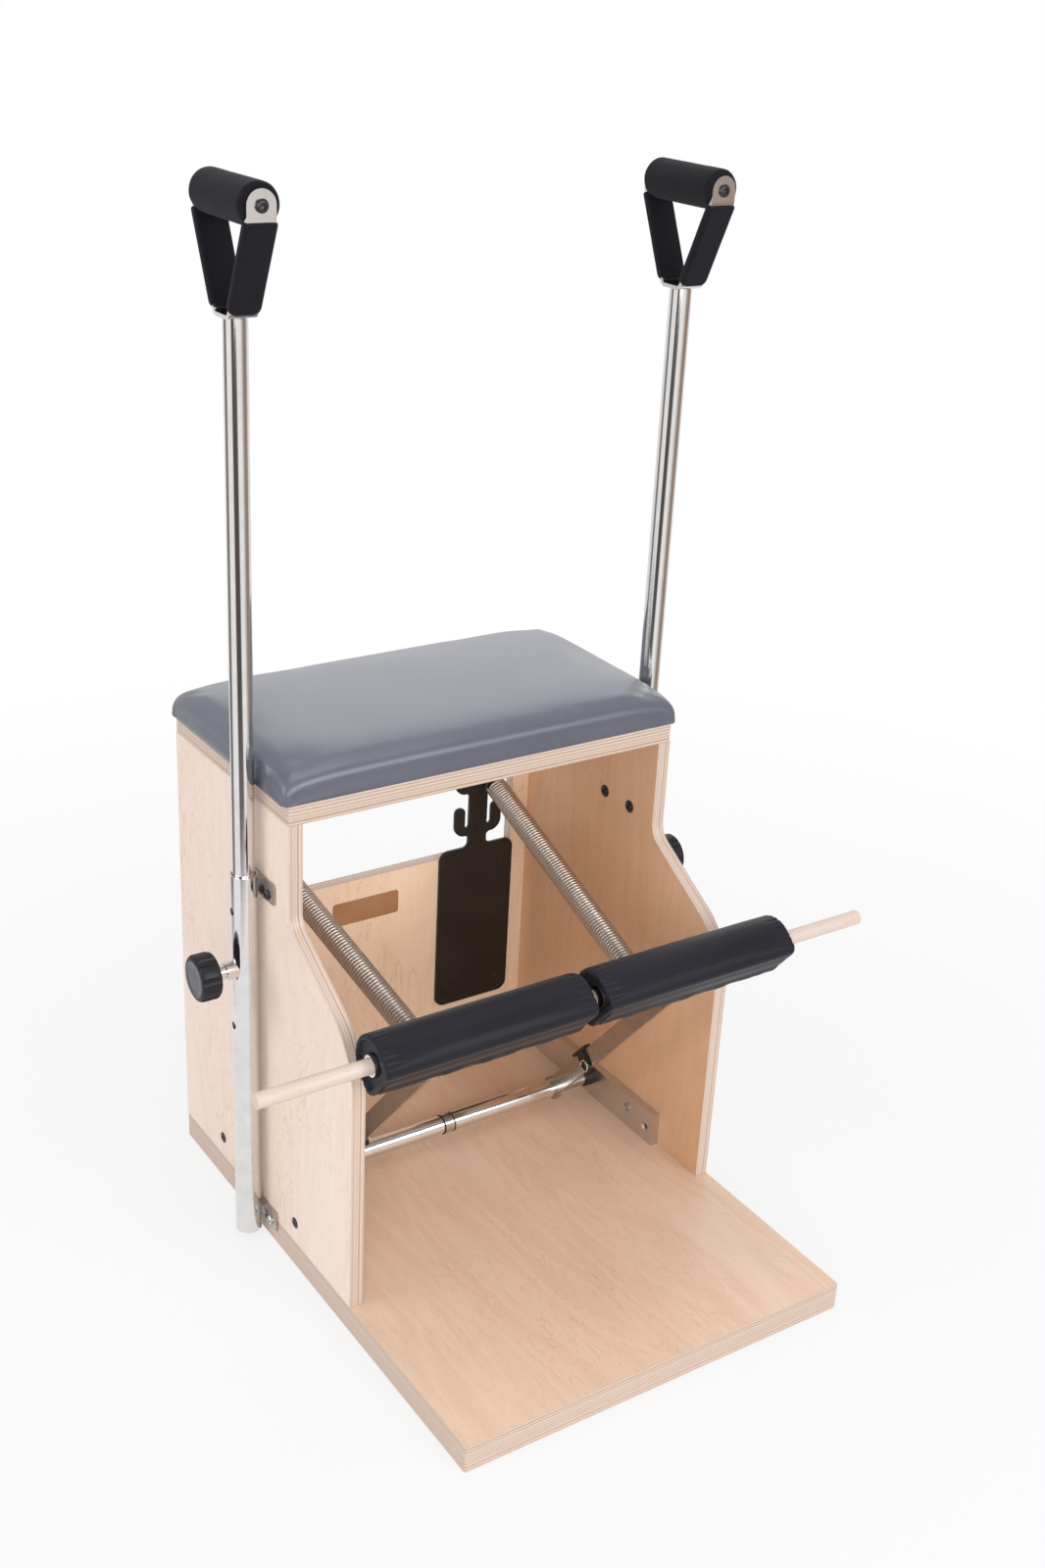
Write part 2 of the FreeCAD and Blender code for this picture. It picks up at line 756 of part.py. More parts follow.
def make_sleeves():
    bottom = V(pole_x, pole_y, sleeve_bottom)
    top = V(pole_x, pole_y, sleeve_top)
    clamp = V(pole_x, pole_y, knob_height)
    boss = V(boss_end, pole_y, knob_height)
    sleeve = joined(rod(sleeve_radius, bottom, top), rod(boss_radius, clamp, boss))
    sleeve = sleeve.cut(bore(sleeve_bore_radius, bottom, top))
    past = X_AXIS * cut_overrun
    sleeve = sleeve.cut(rod(clamp_screw_radius + running_clearance, clamp, boss + past))
    for lift in (-sleeve_hole_pitch, sleeve_hole_pitch):
        hole = clamp + Z_AXIS * lift
        sleeve = sleeve.cut(rod(sleeve_hole_radius, hole, hole + X_AXIS * sleeve_radius + past))
    save_pair("sleeve", sleeve)

    guide_radius = sleeve_bore_radius - running_clearance
    guide_bore = pole_radius + running_clearance
    upper = tube(guide_radius, guide_bore, top - Z_AXIS * guide_length, top)
    low_middle = clamp - Z_AXIS * sleeve_hole_pitch
    half_guide = Z_AXIS * (guide_length / 2)
    lower = tube(guide_radius, guide_bore, low_middle - half_guide, low_middle + half_guide)
    save_pair("guide_bushes", upper, lower)


def make_saddles():
    plate_end = half_width + saddle_plate
    saddles = []
    for bottom in (upper_saddle_bottom, lower_saddle_bottom):
        top = bottom + saddle_height
        corners = rectangle(pole_y - saddle_half, bottom, pole_y + saddle_half, top, saddle_corner_radius)
        flange = plate(corners, side_plane(half_width), X_AXIS * saddle_plate)
        cradle_high = V(half_width + cradle_depth, pole_y + cradle_half, top)
        cradle = box(V(half_width, pole_y - cradle_half, bottom), cradle_high)
        seat = bore(sleeve_radius + running_clearance, V(pole_x, pole_y, bottom), V(pole_x, pole_y, top))
        saddles.append(joined(flange, cradle).cut(seat))
    bolt_bore = saddle_bolt_radius + hole_clearance
    for index, height in enumerate((upper_bolt_height, lower_screw_height)):
        for point in saddle_bolt_points(half_width, height):
            hole = bore(bolt_bore, point, point + X_AXIS * saddle_plate)
            saddles[index] = saddles[index].cut(hole)
    save_pair("sleeve_saddles", *saddles)

    head = X_AXIS * saddle_bolt_head_height
    bolts = []
    for point in saddle_bolt_points(plate_end, upper_bolt_height):
        inner = V(panel_inner, point.y, point.z)
        bolts.append(joined(
            rod(saddle_bolt_head_radius, inner - head, inner),
            rod(saddle_bolt_radius, inner, point),
            rod(saddle_bolt_head_radius, point, point + head),
        ))
    save("saddle_bolts", *bolts, *[mirrored(bolt) for bolt in bolts])
    screws = []
    for point in saddle_bolt_points(plate_end, lower_screw_height):
        screws.append(joined(
            rod(saddle_bolt_radius, point - X_AXIS * lower_screw_length, point),
            rod(saddle_bolt_head_radius, point, point + head),
        ))
    save("saddle_screws", *screws, *[mirrored(screw) for screw in screws])


def make_clamps():
    tip = V(pole_x + pole_radius + seat_clearance, pole_y, knob_height)
    start = V(knob_start, pole_y, knob_height)
    screw_end = start + X_AXIS * (knob_screw_depth - seat_clearance)
    gap = X_AXIS * seat_clearance
    collar = rod(clamp_collar_radius, V(boss_end, pole_y, knob_height) + gap, start - gap)
    save_pair("clamp_screw", joined(rod(clamp_screw_radius, tip, screw_end), collar))

    knob = turned(
        [
            (0, 0, 0),
            (knob_radius, 0, knob_edge_radius),
            (knob_radius, knob_thickness, knob_edge_radius),
            (0, knob_thickness, 0),
        ],
        start, X_AXIS, Z_AXIS,
    )
    for lobe in range(knob_lobes):
        angle = 2 * math.pi * (lobe + 1 / 2) / knob_lobes
        out = knob_radius + knob_scallop_radius - knob_scallop_depth
        spot = start + (Y_AXIS * math.sin(angle) + Z_AXIS * math.cos(angle)) * out
        knob = knob.cut(bore(knob_scallop_radius, spot, spot + X_AXIS * knob_thickness))
    screw_bore = rod(clamp_screw_radius + running_clearance, start, start + X_AXIS * knob_screw_depth)
    save_pair("knob", knob.cut(screw_bore))


def strip_corners(path, thickness, bend_radius):
    """Outline of an open strip of even thickness along a bent path of (y, z) points."""
    ways = [(V(*after) - V(*before)).normalize() for before, after in zip(path, path[1:])]
    left = []
    right = []
    for index, spot in enumerate(path):
        before = ways[max(index - 1, 0)]
        after = ways[min(index, len(ways) - 1)]
        normal = V(-before.y - after.y, before.x + after.x, 0).normalize()
        reach = thickness / 2 / normal.dot(V(-after.y, after.x, 0))
        turn = before.cross(after).z
        inner = bend_radius if abs(turn) > same_point else 0
        outer = bend_radius + thickness if abs(turn) > same_point else 0
        high = V(*spot) + normal * reach
        low = V(*spot) - normal * reach
        left.append((high.x, high.y, inner if turn > 0 else outer))
        right.append((low.x, low.y, outer if turn > 0 else inner))
    return left + right[::-1]


def make_handles():
    pole_low = V(pole_x, pole_y, pole_bottom)
    pole_high = V(pole_x, pole_y, pole_top)
    save_pair("pole", tube(pole_radius, pole_radius - pole_wall, pole_low, pole_high))

    half_strap = strap_width / 2
    strap_top = grip_height + half_strap
    path = [
        (pole_y - strap_top_half, strap_top),
        (pole_y - strap_top_half, strap_knee_height),
        (pole_y - strap_foot_half, strap_middle),
        (pole_y + strap_foot_half, strap_middle),
        (pole_y + strap_top_half, strap_knee_height),
        (pole_y + strap_top_half, strap_top),
    ]
    corners = strip_corners(path, strap_thickness, strap_bend_radius)
    strap = plate(corners, side_plane(pole_x - half_strap), X_AXIS * strap_width)
    front = pole_y - strap_top_half - strap_thickness
    end_shape = plate(
        [
            (pole_x - half_strap, pole_top, 0),
            (pole_x + half_strap, pole_top, 0),
            (pole_x + half_strap, strap_top, half_strap),
            (pole_x - half_strap, strap_top, half_strap),
        ],
        front_plane(front), Y_AXIS * (2 * (pole_y - front)),
    )
    grip_front = V(pole_x, pole_y - grip_half, grip_height)
    grip_rear = V(pole_x, pole_y + grip_half, grip_height)
    plate_way = Y_AXIS * strap_thickness
    bolt_bore = grip_bolt_radius + hole_clearance
    strap = strap.common(end_shape).cut(bore(bolt_bore, grip_front - plate_way, grip_rear + plate_way))
    save_pair("handle_strap", strap)

    grip_length = 2 * grip_half
    grip = turned(
        [
            (0, 0, 0),
            (grip_radius, 0, grip_edge_radius),
            (grip_radius, grip_length, grip_edge_radius),
            (0, grip_length, 0),
        ],
        grip_front, Y_AXIS, Z_AXIS,
    )
    grip = grip.cut(bore(grip_tube_radius + running_clearance, grip_front, grip_rear))
    save_pair("grip", grip.cut(strap))
    save_pair("grip_tube", tube(grip_tube_radius, bolt_bore, grip_front, grip_rear))

    bolts = []
    for inner_face, way in ((grip_front, -Y_AXIS), (grip_rear, Y_AXIS)):
        seat = inner_face + way * strap_thickness
        face = seat + way * grip_bolt_head_height
        bolt = joined(
            rod(grip_bolt_radius, seat - way * grip_bolt_length, seat),
            rod(grip_bolt_head_radius, seat, face),
        )
        socket_floor = face - way * grip_bolt_socket_depth
        bolts.append(bolt.cut(rod(grip_bolt_socket_radius, socket_floor, face + way * cut_overrun)))
    save_pair("grip_bolts", *bolts)

    foams = []
    grip_room = rod(grip_radius + seat_clearance, grip_front, grip_rear)
    for way in (-1, 1):
        foot = V(pole_x, pole_y + way * strap_foot_half, strap_middle)
        knee = V(pole_x, pole_y + way * strap_top_half, strap_knee_height)
        leg = (knee - foot).normalize()
        out_way = leg.cross(X_AXIS)
        start = foot + leg * leg_foam_bottom_gap
        sweep = leg * ((knee - foot).Length - leg_foam_bottom_gap - leg_foam_top_gap)

        def place(point):
            return start + X_AXIS * point.x + out_way * point.y

        half_foam = half_strap + leg_foam_side
        half_thick = strap_thickness / 2 + leg_foam_skin
        hole_half = half_strap + running_clearance
        hole_thick = strap_thickness / 2 + running_clearance
        outside = rectangle(-half_foam, -half_thick, half_foam, half_thick, leg_foam_radius)
        inside = rectangle(-hole_half, -hole_thick, hole_half, hole_thick, 0)
        foam = plate(outside, place, sweep).cut(plate(inside, place, sweep))
        foams.append(foam.cut(grip_room))
    save_pair("leg_foam", *foams)


os.makedirs("parts", exist_ok=True)
make_base()
make_side_panels()
make_seat_board()
make_cushion()
make_rear_panel()
make_trees()
make_axle()
make_pedals()
make_springs()
make_sleeves()
make_saddles()
make_clamps()
make_handles()
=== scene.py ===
from math import atan2, copysign, cos, exp, hypot, pi, radians, sin, sqrt

import bmesh
import bpy
from mathutils import Matrix, Vector, noise


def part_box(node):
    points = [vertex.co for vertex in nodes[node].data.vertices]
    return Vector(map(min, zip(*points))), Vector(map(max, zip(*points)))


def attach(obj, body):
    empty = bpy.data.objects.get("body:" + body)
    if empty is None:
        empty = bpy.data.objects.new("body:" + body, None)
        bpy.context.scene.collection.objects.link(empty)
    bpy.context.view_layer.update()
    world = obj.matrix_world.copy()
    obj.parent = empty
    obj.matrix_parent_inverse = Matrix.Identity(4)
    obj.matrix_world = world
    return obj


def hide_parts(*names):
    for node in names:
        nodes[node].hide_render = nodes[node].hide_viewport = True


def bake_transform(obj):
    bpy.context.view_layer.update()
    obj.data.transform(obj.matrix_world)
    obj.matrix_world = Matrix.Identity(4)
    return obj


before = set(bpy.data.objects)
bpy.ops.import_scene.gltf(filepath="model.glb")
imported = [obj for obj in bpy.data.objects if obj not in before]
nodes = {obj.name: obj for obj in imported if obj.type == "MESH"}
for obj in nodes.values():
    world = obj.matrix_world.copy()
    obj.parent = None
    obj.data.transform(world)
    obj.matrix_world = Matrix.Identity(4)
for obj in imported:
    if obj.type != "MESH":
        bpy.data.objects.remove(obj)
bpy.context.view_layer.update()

# Lengths are in metres, and a side's number is the sign of its x
SIDES = (("left", -1.0), ("right", 1.0))
X_AXIS = Vector((1, 0, 0))
Y_AXIS = Vector((0, 1, 0))
Z_AXIS = Vector((0, 0, 1))

# Places from the CAD model that several pieces use
POLE_X, POLE_Y, POLE_TOP = 0.3004, 0.1365, 1.200
GRIP_Z, GRIP_HALF = 1.3225, 0.06175
AXLE = Vector((0.0, 0.1315, 0.0707))
REST_ANGLE = radians(50.0)
ALONG_ARM = Vector((0.0, -cos(REST_ANGLE), sin(REST_ANGLE)))
ACROSS_ARM = Vector((0.0, sin(REST_ANGLE), cos(REST_ANGLE)))


# Material helpers

WHITE = (1.0, 1.0, 1.0, 1.0)
NO_SHIFT = (0.0, 0.0, 0.0)


def linear(*display):
    """A colour given as 0 to 255 display values."""
    shares = [value / 255 for value in display]
    return (*[s / 12.92 if s <= 0.04045 else ((s + 0.055) / 1.055) ** 2.4 for s in shares], 1.0)


def feed(tree, socket, value):
    """Link an output to a socket, or set the socket's own value."""
    if isinstance(value, bpy.types.NodeSocket):
        tree.links.new(value, socket)
    else:
        socket.default_value = value


def add(tree, kind, output=0, **values):
    """A shader node; small-letter keys are its settings and capital ones its inputs."""
    made = tree.nodes.new("ShaderNode" + kind)
    for key, value in values.items():
        if key[0].islower():
            setattr(made, key, value)
        else:
            feed(tree, made.inputs[key.replace("_", " ")], value)
    return made.outputs[output]


def calc(tree, operation, *values):
    made = tree.nodes.new("ShaderNodeMath")
    made.operation = operation
    for socket, value in zip(made.inputs, values):
        feed(tree, socket, value)
    return made.outputs[0]


def mix(tree, share, first, second, blend="MIX"):
    made = tree.nodes.new("ShaderNodeMix")
    made.data_type = "RGBA"
    made.blend_type = blend
    for index, value in ((0, share), (6, first), (7, second)):
        feed(tree, made.inputs[index], value)
    return made.outputs[2]


def ramp(tree, value, *stops):
    """A colour ramp; each stop is a place with a colour or a grey level."""
    made = tree.nodes.new("ShaderNodeValToRGB")
    feed(tree, made.inputs[0], value)
    elements = made.color_ramp.elements
    while len(elements) < len(stops):
        elements.new(0.5)
    for element, (place, colour) in zip(elements, stops):
        element.position = place
        element.color = colour if hasattr(colour, "__len__") else (colour, colour, colour, 1.0)
    return made.outputs[0]


def new_material(name, **values):
    """A material and its node tree, with the shader's inputs set by name."""
    made = bpy.data.materials.new(name)
    made.use_nodes = True
    tree = made.node_tree
    tree.nodes.clear()
    shader = tree.nodes.new("ShaderNodeBsdfPrincipled")
    output = tree.nodes.new("ShaderNodeOutputMaterial")
    tree.links.new(shader.outputs[0], output.inputs[0])
    for key, value in values.items():
        feed(tree, shader.inputs[key.replace("_", " ")], value)
    return made, tree


def place(tree, scale, shift=NO_SHIFT):
    """Object coordinates times a scale, one for all axes or one for each."""
    spot = add(tree, "TexCoord", output=3)
    sizes = scale if hasattr(scale, "__len__") else (scale, scale, scale)
    return add(tree, "Mapping", Vector=spot, Scale=sizes, Location=shift)


def speckle(tree, scale, detail, shift=NO_SHIFT, **values):
    spot = place(tree, scale, shift)
    return add(tree, "TexNoise", Vector=spot, Scale=1.0, Detail=detail, **values)


def look(tree, colour, rough):
    inputs = tree.nodes["Principled BSDF"].inputs
    feed(tree, inputs["Base Color"], colour)
    feed(tree, inputs["Roughness"], rough)


def bump(tree, height, strength, distance, **values):
    worn = add(tree, "Bump", Height=height, Strength=strength, Distance=distance, **values)
    feed(tree, tree.nodes["Principled BSDF"].inputs["Normal"], worn)


# Materials

WOOD_FLECK = linear(200, 158, 126)
PLY_PALE = linear(221, 204, 193)
PLY_MID = linear(210, 188, 173)
PLY_DARK = linear(182, 148, 123)
PLY_GLUE = linear(158, 116, 88)
PLY_THICKNESS = 0.00215
EDGE_EASE = 0.0014
WOOD_BUMP = (0.12, 0.0004)
# Repeats a metre, along the grain and across it
RING_SCALE, RING_COUNT = (1.6, 9.0), 55.0
FIBRE_SCALE = (9.0, 420.0)
CLOUD_SCALE = (2.2, 6.0)
FLECK_SCALE = (70.0, 900.0)
CURL_SCALE, CURL_COUNT = (6.0, 24.0), 9.0
# Repeats a metre, the same every way
WANDER_SCALE = 14.0
END_GRAIN_SCALE = 900.0
SMUDGE_SCALE, PLAIN_SCALE = 18.0, 60.0
BEND_SCALE, VINYL_SCALE = 260.0, 7.0
PORE_SCALE, FINE_SCALE, FOAM_SCALE = 1100.0, 2300.0, 30.0
COAT_SCALE = 22.0


def wood(name, grain, thick, shift, pale, mid, plies=True):
    """Lacquered pale wood; grain and thick are axis numbers, and cut edges show their plies."""
    made, tree = new_material(name, Coat_Weight=0.12, Coat_Roughness=0.25, Specular_IOR_Level=0.45)

    def figure(scale, detail, **values):
        along, across = scale
        sizes = [across] * 3
        sizes[grain] = along
        return speckle(tree, sizes, detail, shift, **values)

    rings = calc(tree, "MULTIPLY", figure(RING_SCALE, 3.0, Distortion=0.8), RING_COUNT)
    rings = calc(tree, "MULTIPLY_ADD", calc(tree, "SINE", rings), 0.5, 0.5)
    fibre = figure(FIBRE_SCALE, 5.0, Roughness=0.62)
    cloud = figure(CLOUD_SCALE, 2.0)
    share = calc(tree, "MULTIPLY_ADD", rings, 0.15, calc(tree, "MULTIPLY", fibre, 0.5))
    share = calc(tree, "MULTIPLY_ADD", cloud, 0.7, calc(tree, "SUBTRACT", share, 0.3))
    face = ramp(tree, share, (0.12, linear(*pale)), (0.62, linear(*mid)))
    flecks = ramp(tree, figure(FLECK_SCALE, 2.0), (0.66, 0.0), (0.76, 0.42))
    face = mix(tree, flecks, face, WOOD_FLECK)
    curl = calc(tree, "MULTIPLY", figure(CURL_SCALE, 5.0, Distortion=1.4), CURL_COUNT)
    feather = ramp(tree, calc(tree, "PINGPONG", curl, 0.5), (0.0, 0.42), (0.09, 0.0))
    feather = calc(tree, "MULTIPLY", feather, ramp(tree, cloud, (0.4, 0.1), (0.6, 1.0)))
    face = mix(tree, feather, face, WOOD_FLECK)
    rough = ramp(tree, fibre, (0.3, 0.36), (0.7, 0.5))
    if not plies:
        look(tree, face, rough)
        bump(tree, fibre, *WOOD_BUMP)
        return made

    depth = add(tree, "SeparateXYZ", output=thick, Vector=add(tree, "TexCoord", output=3))
    wander = speckle(tree, WANDER_SCALE, 2.0, shift)
    layers = calc(tree, "DIVIDE", depth, PLY_THICKNESS)
    layers = calc(tree, "ADD", layers, calc(tree, "MULTIPLY", wander, 0.5))
    level = calc(tree, "FLOOR", layers)
    tone = calc(tree, "MULTIPLY", add(tree, "TexWhiteNoise", noise_dimensions="1D", W=level), 0.4)
    turn = calc(tree, "MODULO", calc(tree, "ABSOLUTE", level), 2.0)
    tone = calc(tree, "MULTIPLY_ADD", turn, 0.55, tone)
    end_grain = speckle(tree, END_GRAIN_SCALE, 3.0, shift)
    tone = calc(tree, "MULTIPLY_ADD", calc(tree, "SUBTRACT", end_grain, 0.5), 0.5, tone)
    ply = ramp(tree, tone, (0.0, PLY_PALE), (0.55, PLY_MID), (1.0, PLY_DARK))
    glue = ramp(tree, calc(tree, "PINGPONG", layers, 0.5), (0.0, 0.4), (0.09, 0.0))
    ply = mix(tree, glue, ply, PLY_GLUE)
    facing = add(tree, "SeparateXYZ", output=thick, Vector=add(tree, "TexCoord", output=1))
    edge = ramp(tree, calc(tree, "ABSOLUTE", facing), (0.55, 1.0), (0.8, 0.0))
    look(tree, mix(tree, edge, face, ply), rough)
    relief = calc(tree, "MULTIPLY_ADD", calc(tree, "MULTIPLY", edge, tone), 0.6, fibre)
    bump(tree, relief, *WOOD_BUMP, Normal=add(tree, "Bevel", samples=4, Radius=EDGE_EASE))
    return made


def metal(name, colour, low, high, lines=None):
    """Bare or plated metal; lines gives the scale of its brushing along each axis."""
    made, tree = new_material(name, Metallic=1.0)
    smudge = speckle(tree, SMUDGE_SCALE, 4.0)
    hair = speckle(tree, lines or PLAIN_SCALE, 4.0)
    share = calc(tree, "MULTIPLY_ADD", hair, 0.6, calc(tree, "MULTIPLY", smudge, 0.4))
    bright = linear(*colour)
    dull = tuple(value * 0.86 for value in bright[:3]) + (1.0,)
    tone = ramp(tree, share, (0.3, bright), (0.75, dull))
    look(tree, tone, ramp(tree, share, (0.35, low), (0.65, high)))
    if lines:
        bump(tree, hair, 0.05, 0.0002)
    return made


def vinyl(name, colour, worn, rough, cell, depth, coat=0.0, level=0.5):
    """Upholstery vinyl; cell is the scale of its grain and depth the strength."""
    made, tree = new_material(
        name, Specular_IOR_Level=level, Sheen_Weight=0.05, Sheen_Roughness=0.4,
        Coat_Weight=coat, Coat_Roughness=0.36,
    )
    wander = speckle(tree, BEND_SCALE, 2.0)
    bent = mix(tree, 0.12, place(tree, cell), wander, "ADD")
    grain = add(tree, "TexVoronoi", feature="DISTANCE_TO_EDGE", Vector=bent, Scale=1.0)
    grain = ramp(tree, grain, (0.0, 0.0), (0.3, 1.0))
    cloud = speckle(tree, VINYL_SCALE, 4.0)
    tone = ramp(tree, cloud, (0.35, linear(*colour)), (0.7, linear(*worn)))
    look(tree, tone, ramp(tree, cloud, (0.3, rough), (0.7, rough + 0.08)))
    bump(tree, grain, depth, 0.00025)
    return made


def foam(name, colour, pale):
    made, tree = new_material(name, Specular_IOR_Level=0.18, Sheen_Weight=0.06, Sheen_Roughness=0.6)
    pores = add(tree, "TexVoronoi", feature="F1", Vector=place(tree, PORE_SCALE), Scale=1.0)
    fine = speckle(tree, FINE_SCALE, 3.0)
    cloud = speckle(tree, FOAM_SCALE, 4.0)
    share = calc(tree, "MULTIPLY_ADD", pores, 0.5, calc(tree, "MULTIPLY", cloud, 0.5))
    tone = ramp(tree, share, (0.25, linear(*colour)), (0.75, linear(*pale)))
    look(tree, tone, ramp(tree, fine, (0.3, 0.78), (0.7, 0.95)))
    bump(tree, calc(tree, "ADD", pores, fine), 0.5, 0.0003)
    return made


def coated(name, colour, pale, low, high, cell, depth, level=0.5):
    """Painted or moulded surfaces; cell is the scale of their texture and depth the strength."""
    made, tree = new_material(name, Specular_IOR_Level=level)
    peel = speckle(tree, cell, 3.0)
    cloud = speckle(tree, COAT_SCALE, 4.0)
    tone = ramp(tree, cloud, (0.35, linear(*colour)), (0.72, linear(*pale)))
    look(tree, tone, ramp(tree, cloud, (0.3, low), (0.7, high)))
    bump(tree, peel, depth, 0.0002)
    return made


# Grain axis, thickness axis, shift of the figure, pale tone and mid tone. The tones are one plywood with
# painted light and shade: the right panel darker with painted shade, the left and rear panels paler with
# painted light
BOARDS = {
    "base": (1, 2, (0.3, 1.7, 0.2), (234, 205, 182), (222, 187, 160)),
    "seat": (0, 2, (2.1, 0.6, 0.0), (236, 211, 191), (227, 195, 169)),
    "left": (2, 0, (0.9, 3.3, 1.1), (244, 227, 215), (239, 216, 201)),
    "right": (2, 0, (4.2, 1.3, 2.7), (236, 196, 161), (226, 180, 141)),
    "rear": (2, 1, (1.4, 5.1, 0.8), (252, 229, 204), (247, 217, 188)),
}
# Colour, least and most roughness, and the brushing of those that have it
METALS = {
    "chrome": ((232, 230, 228), 0.08, 0.1),
    "aluminium": ((222, 219, 216), 0.3, 0.42, (420.0, 16.0, 420.0)),
    "axle_steel": ((196, 192, 188), 0.14, 0.26, (30.0, 500.0, 500.0)),
    "arm_steel": ((188, 182, 176), 0.18, 0.32, (500.0, 24.0, 24.0)),
    "spring_steel": ((198, 188, 180), 0.28, 0.36),
    "zinc_screws": ((196, 194, 190), 0.2, 0.34),
}
# Two colours, least and most roughness, texture scale and depth, and any lower specular level
COATINGS = {
    "black_steel": ((23, 19, 18), (32, 27, 25), 0.4, 0.52, 1500.0, 0.12),
    "black_nylon": ((30, 29, 31), (40, 39, 41), 0.42, 0.55, 900.0, 0.06),
    "black_bolts": ((28, 26, 27), (40, 38, 38), 0.32, 0.45, 1200.0, 0.06),
    "black_plastic": ((20, 19, 24), (28, 27, 33), 0.38, 0.5, 1800.0, 0.1, 0.3),
    "knob_face": ((78, 79, 87), (88, 89, 98), 0.3, 0.4, 2400.0, 0.05),
    "plate_face": ((176, 129, 92), (168, 120, 84), 0.28, 0.36, 700.0, 0.03),
}
MATERIALS = {
    "dowel_wood": wood("dowel_wood", 0, 2, (0.2, 0.9, 0.4), (219, 204, 194), (210, 191, 178), plies=False),
    "seat_vinyl": vinyl("seat_vinyl", (85, 88, 102), (91, 94, 109), 0.42, 1300.0, 0.06, coat=0.8),
    "pad_vinyl": vinyl("pad_vinyl", (20, 20, 29), (27, 27, 37), 0.46, 800.0, 0.16, level=0.24),
    "black_foam": foam("black_foam", (9, 7, 15), (20, 17, 27)),
}
for name, row in BOARDS.items():
    MATERIALS[name] = wood("plywood_" + name, *row)
for name, row in METALS.items():
    MATERIALS[name] = metal(name, *row)
for name, row in COATINGS.items():
    MATERIALS[name] = coated(name, *row)

NODE_FINISH = {
    "base_board": "base", "seat_board": "seat", "left_side_panel": "left", "right_side_panel": "right",
    "rear_panel": "rear", "locking_dowel": "dowel_wood", "axle_bushes": "black_nylon",
    "axle_shaft": "axle_steel", "axle_spacers": "axle_steel", "axle_collar": "axle_steel",
}
SIDE_NODES = {
    "black_steel": ["spring_tree", "arm_clip"],
    "aluminium": ["axle_bracket"],
    "black_nylon": ["guide_bushes"],
    "black_plastic": ["knob"],
    "chrome": ["sleeve", "pedal_tube", "guide_tube", "pole", "handle_strap", "clamp_screw"],
    "arm_steel": ["pedal_arm", "spring_pin", "grip_tube", "sleeve_saddles"],
    "spring_steel": ["spring_stud", "spring_link"],
}


def paint(obj, finish):
    obj.data.materials.clear()
    obj.data.materials.append(MATERIALS[finish])


for finish, names in SIDE_NODES.items():
    for side, _ in SIDES:
        NODE_FINISH.update({f"{side}_{name}": finish for name in names})
for name, finish in NODE_FINISH.items():
    paint(nodes[name], finish)


# Mesh helpers

def made_object(name, form, finish, smooth=True):
    """An object from a form, which is its points and its faces."""
    points, faces = form
    mesh = bpy.data.meshes.new(name)
    mesh.from_pydata([tuple(p) for p in points], [], [tuple(f) for f in faces])
    mesh.update()
    checked = bmesh.new()
    checked.from_mesh(mesh)
    bmesh.ops.recalc_face_normals(checked, faces=checked.faces)
    checked.to_mesh(mesh)
    checked.free()
    mesh.polygons.foreach_set("use_smooth", [smooth] * len(mesh.polygons))
    obj = bpy.data.objects.new(name, mesh)
    bpy.context.scene.collection.objects.link(obj)
    paint(obj, finish)
    return obj


def skin(rings, loop=False):
    """The form through rings of equally many points, capped unless it is a loop."""
    count = len(rings[0])
    points = [p for ring in rings for p in ring]
    faces = []
    for row in range(len(rings) if loop else len(rings) - 1):
        here = row * count
        there = ((row + 1) % len(rings)) * count
        for i in range(count):
            j = (i + 1) % count
            faces.append((here + i, here + j, there + j, there + i))
    if not loop:
        faces.append(tuple(range(count))[::-1])
        faces.append(tuple(range((len(rings) - 1) * count, len(rings) * count)))
    return points, faces


def joined_parts(parts):
    points = []
    faces = []
    for part_points, part_faces in parts:
        start = len(points)
        points += list(part_points)
        faces += [tuple(i + start for i in face) for face in part_faces]
    return points, faces


def frame_along(way):
    """Two directions square to a way and to each other."""
    way = Vector(way).normalized()
    first = way.cross(Z_AXIS if abs(way.z) < 0.9 else X_AXIS).normalized()
    return first, way.cross(first).normalized()


def circle(centre, first, second, radius, count):
    """Points round a centre; radius may be a function of the angle."""
    spots = []
    for k in range(count):
        angle = 2 * pi * k / count
        reach = radius(angle) if callable(radius) else radius
        spots.append(centre + (first * cos(angle) + second * sin(angle)) * reach)
    return spots


def turned(centre, out, profile, count, loop=False):
    """The form turned about an axis from a profile of radii and levels along it."""
    sides = frame_along(out)
    return skin([circle(centre + out * level, *sides, radius, count) for radius, level in profile], loop)


def corner_arcs(half_x, half_y, radius, steps):
    """The four round corners of a rectangle about the origin."""
    arcs = []
    for corner, (way_x, way_y) in enumerate(((1, 1), (-1, 1), (-1, -1), (1, -1))):
        x, y = way_x * (half_x - radius), way_y * (half_y - radius)
        angles = [pi / 2 * (corner + step / steps) for step in range(steps + 1)]
        arcs.append([(x + radius * cos(a), y + radius * sin(a)) for a in angles])
    return arcs


def tube_along(path, radius, sides):
    """Round tube through points, with its frame carried along the path."""
    first, _ = frame_along(path[1] - path[0])
    rings = []
    for index, spot in enumerate(path):
        way = (path[min(index + 1, len(path) - 1)] - path[max(index - 1, 0)]).normalized()
        first = (first - way * first.dot(way)).normalized()
        rings.append(circle(spot, first, way.cross(first), radius, sides))
    return skin(rings)


def smoothstep(low, high, value):
    """0 at low, 1 at high and a smooth rise between them."""
    share = min(max((value - low) / (high - low), 0.0), 1.0)
    return share * share * (3.0 - 2.0 * share)


def bell(value, centre, width):
    return exp(-((value - centre) / width) ** 2)


def ripple(x, y, z):
    return noise.noise(Vector((x, y, z)))


# Camera and stage

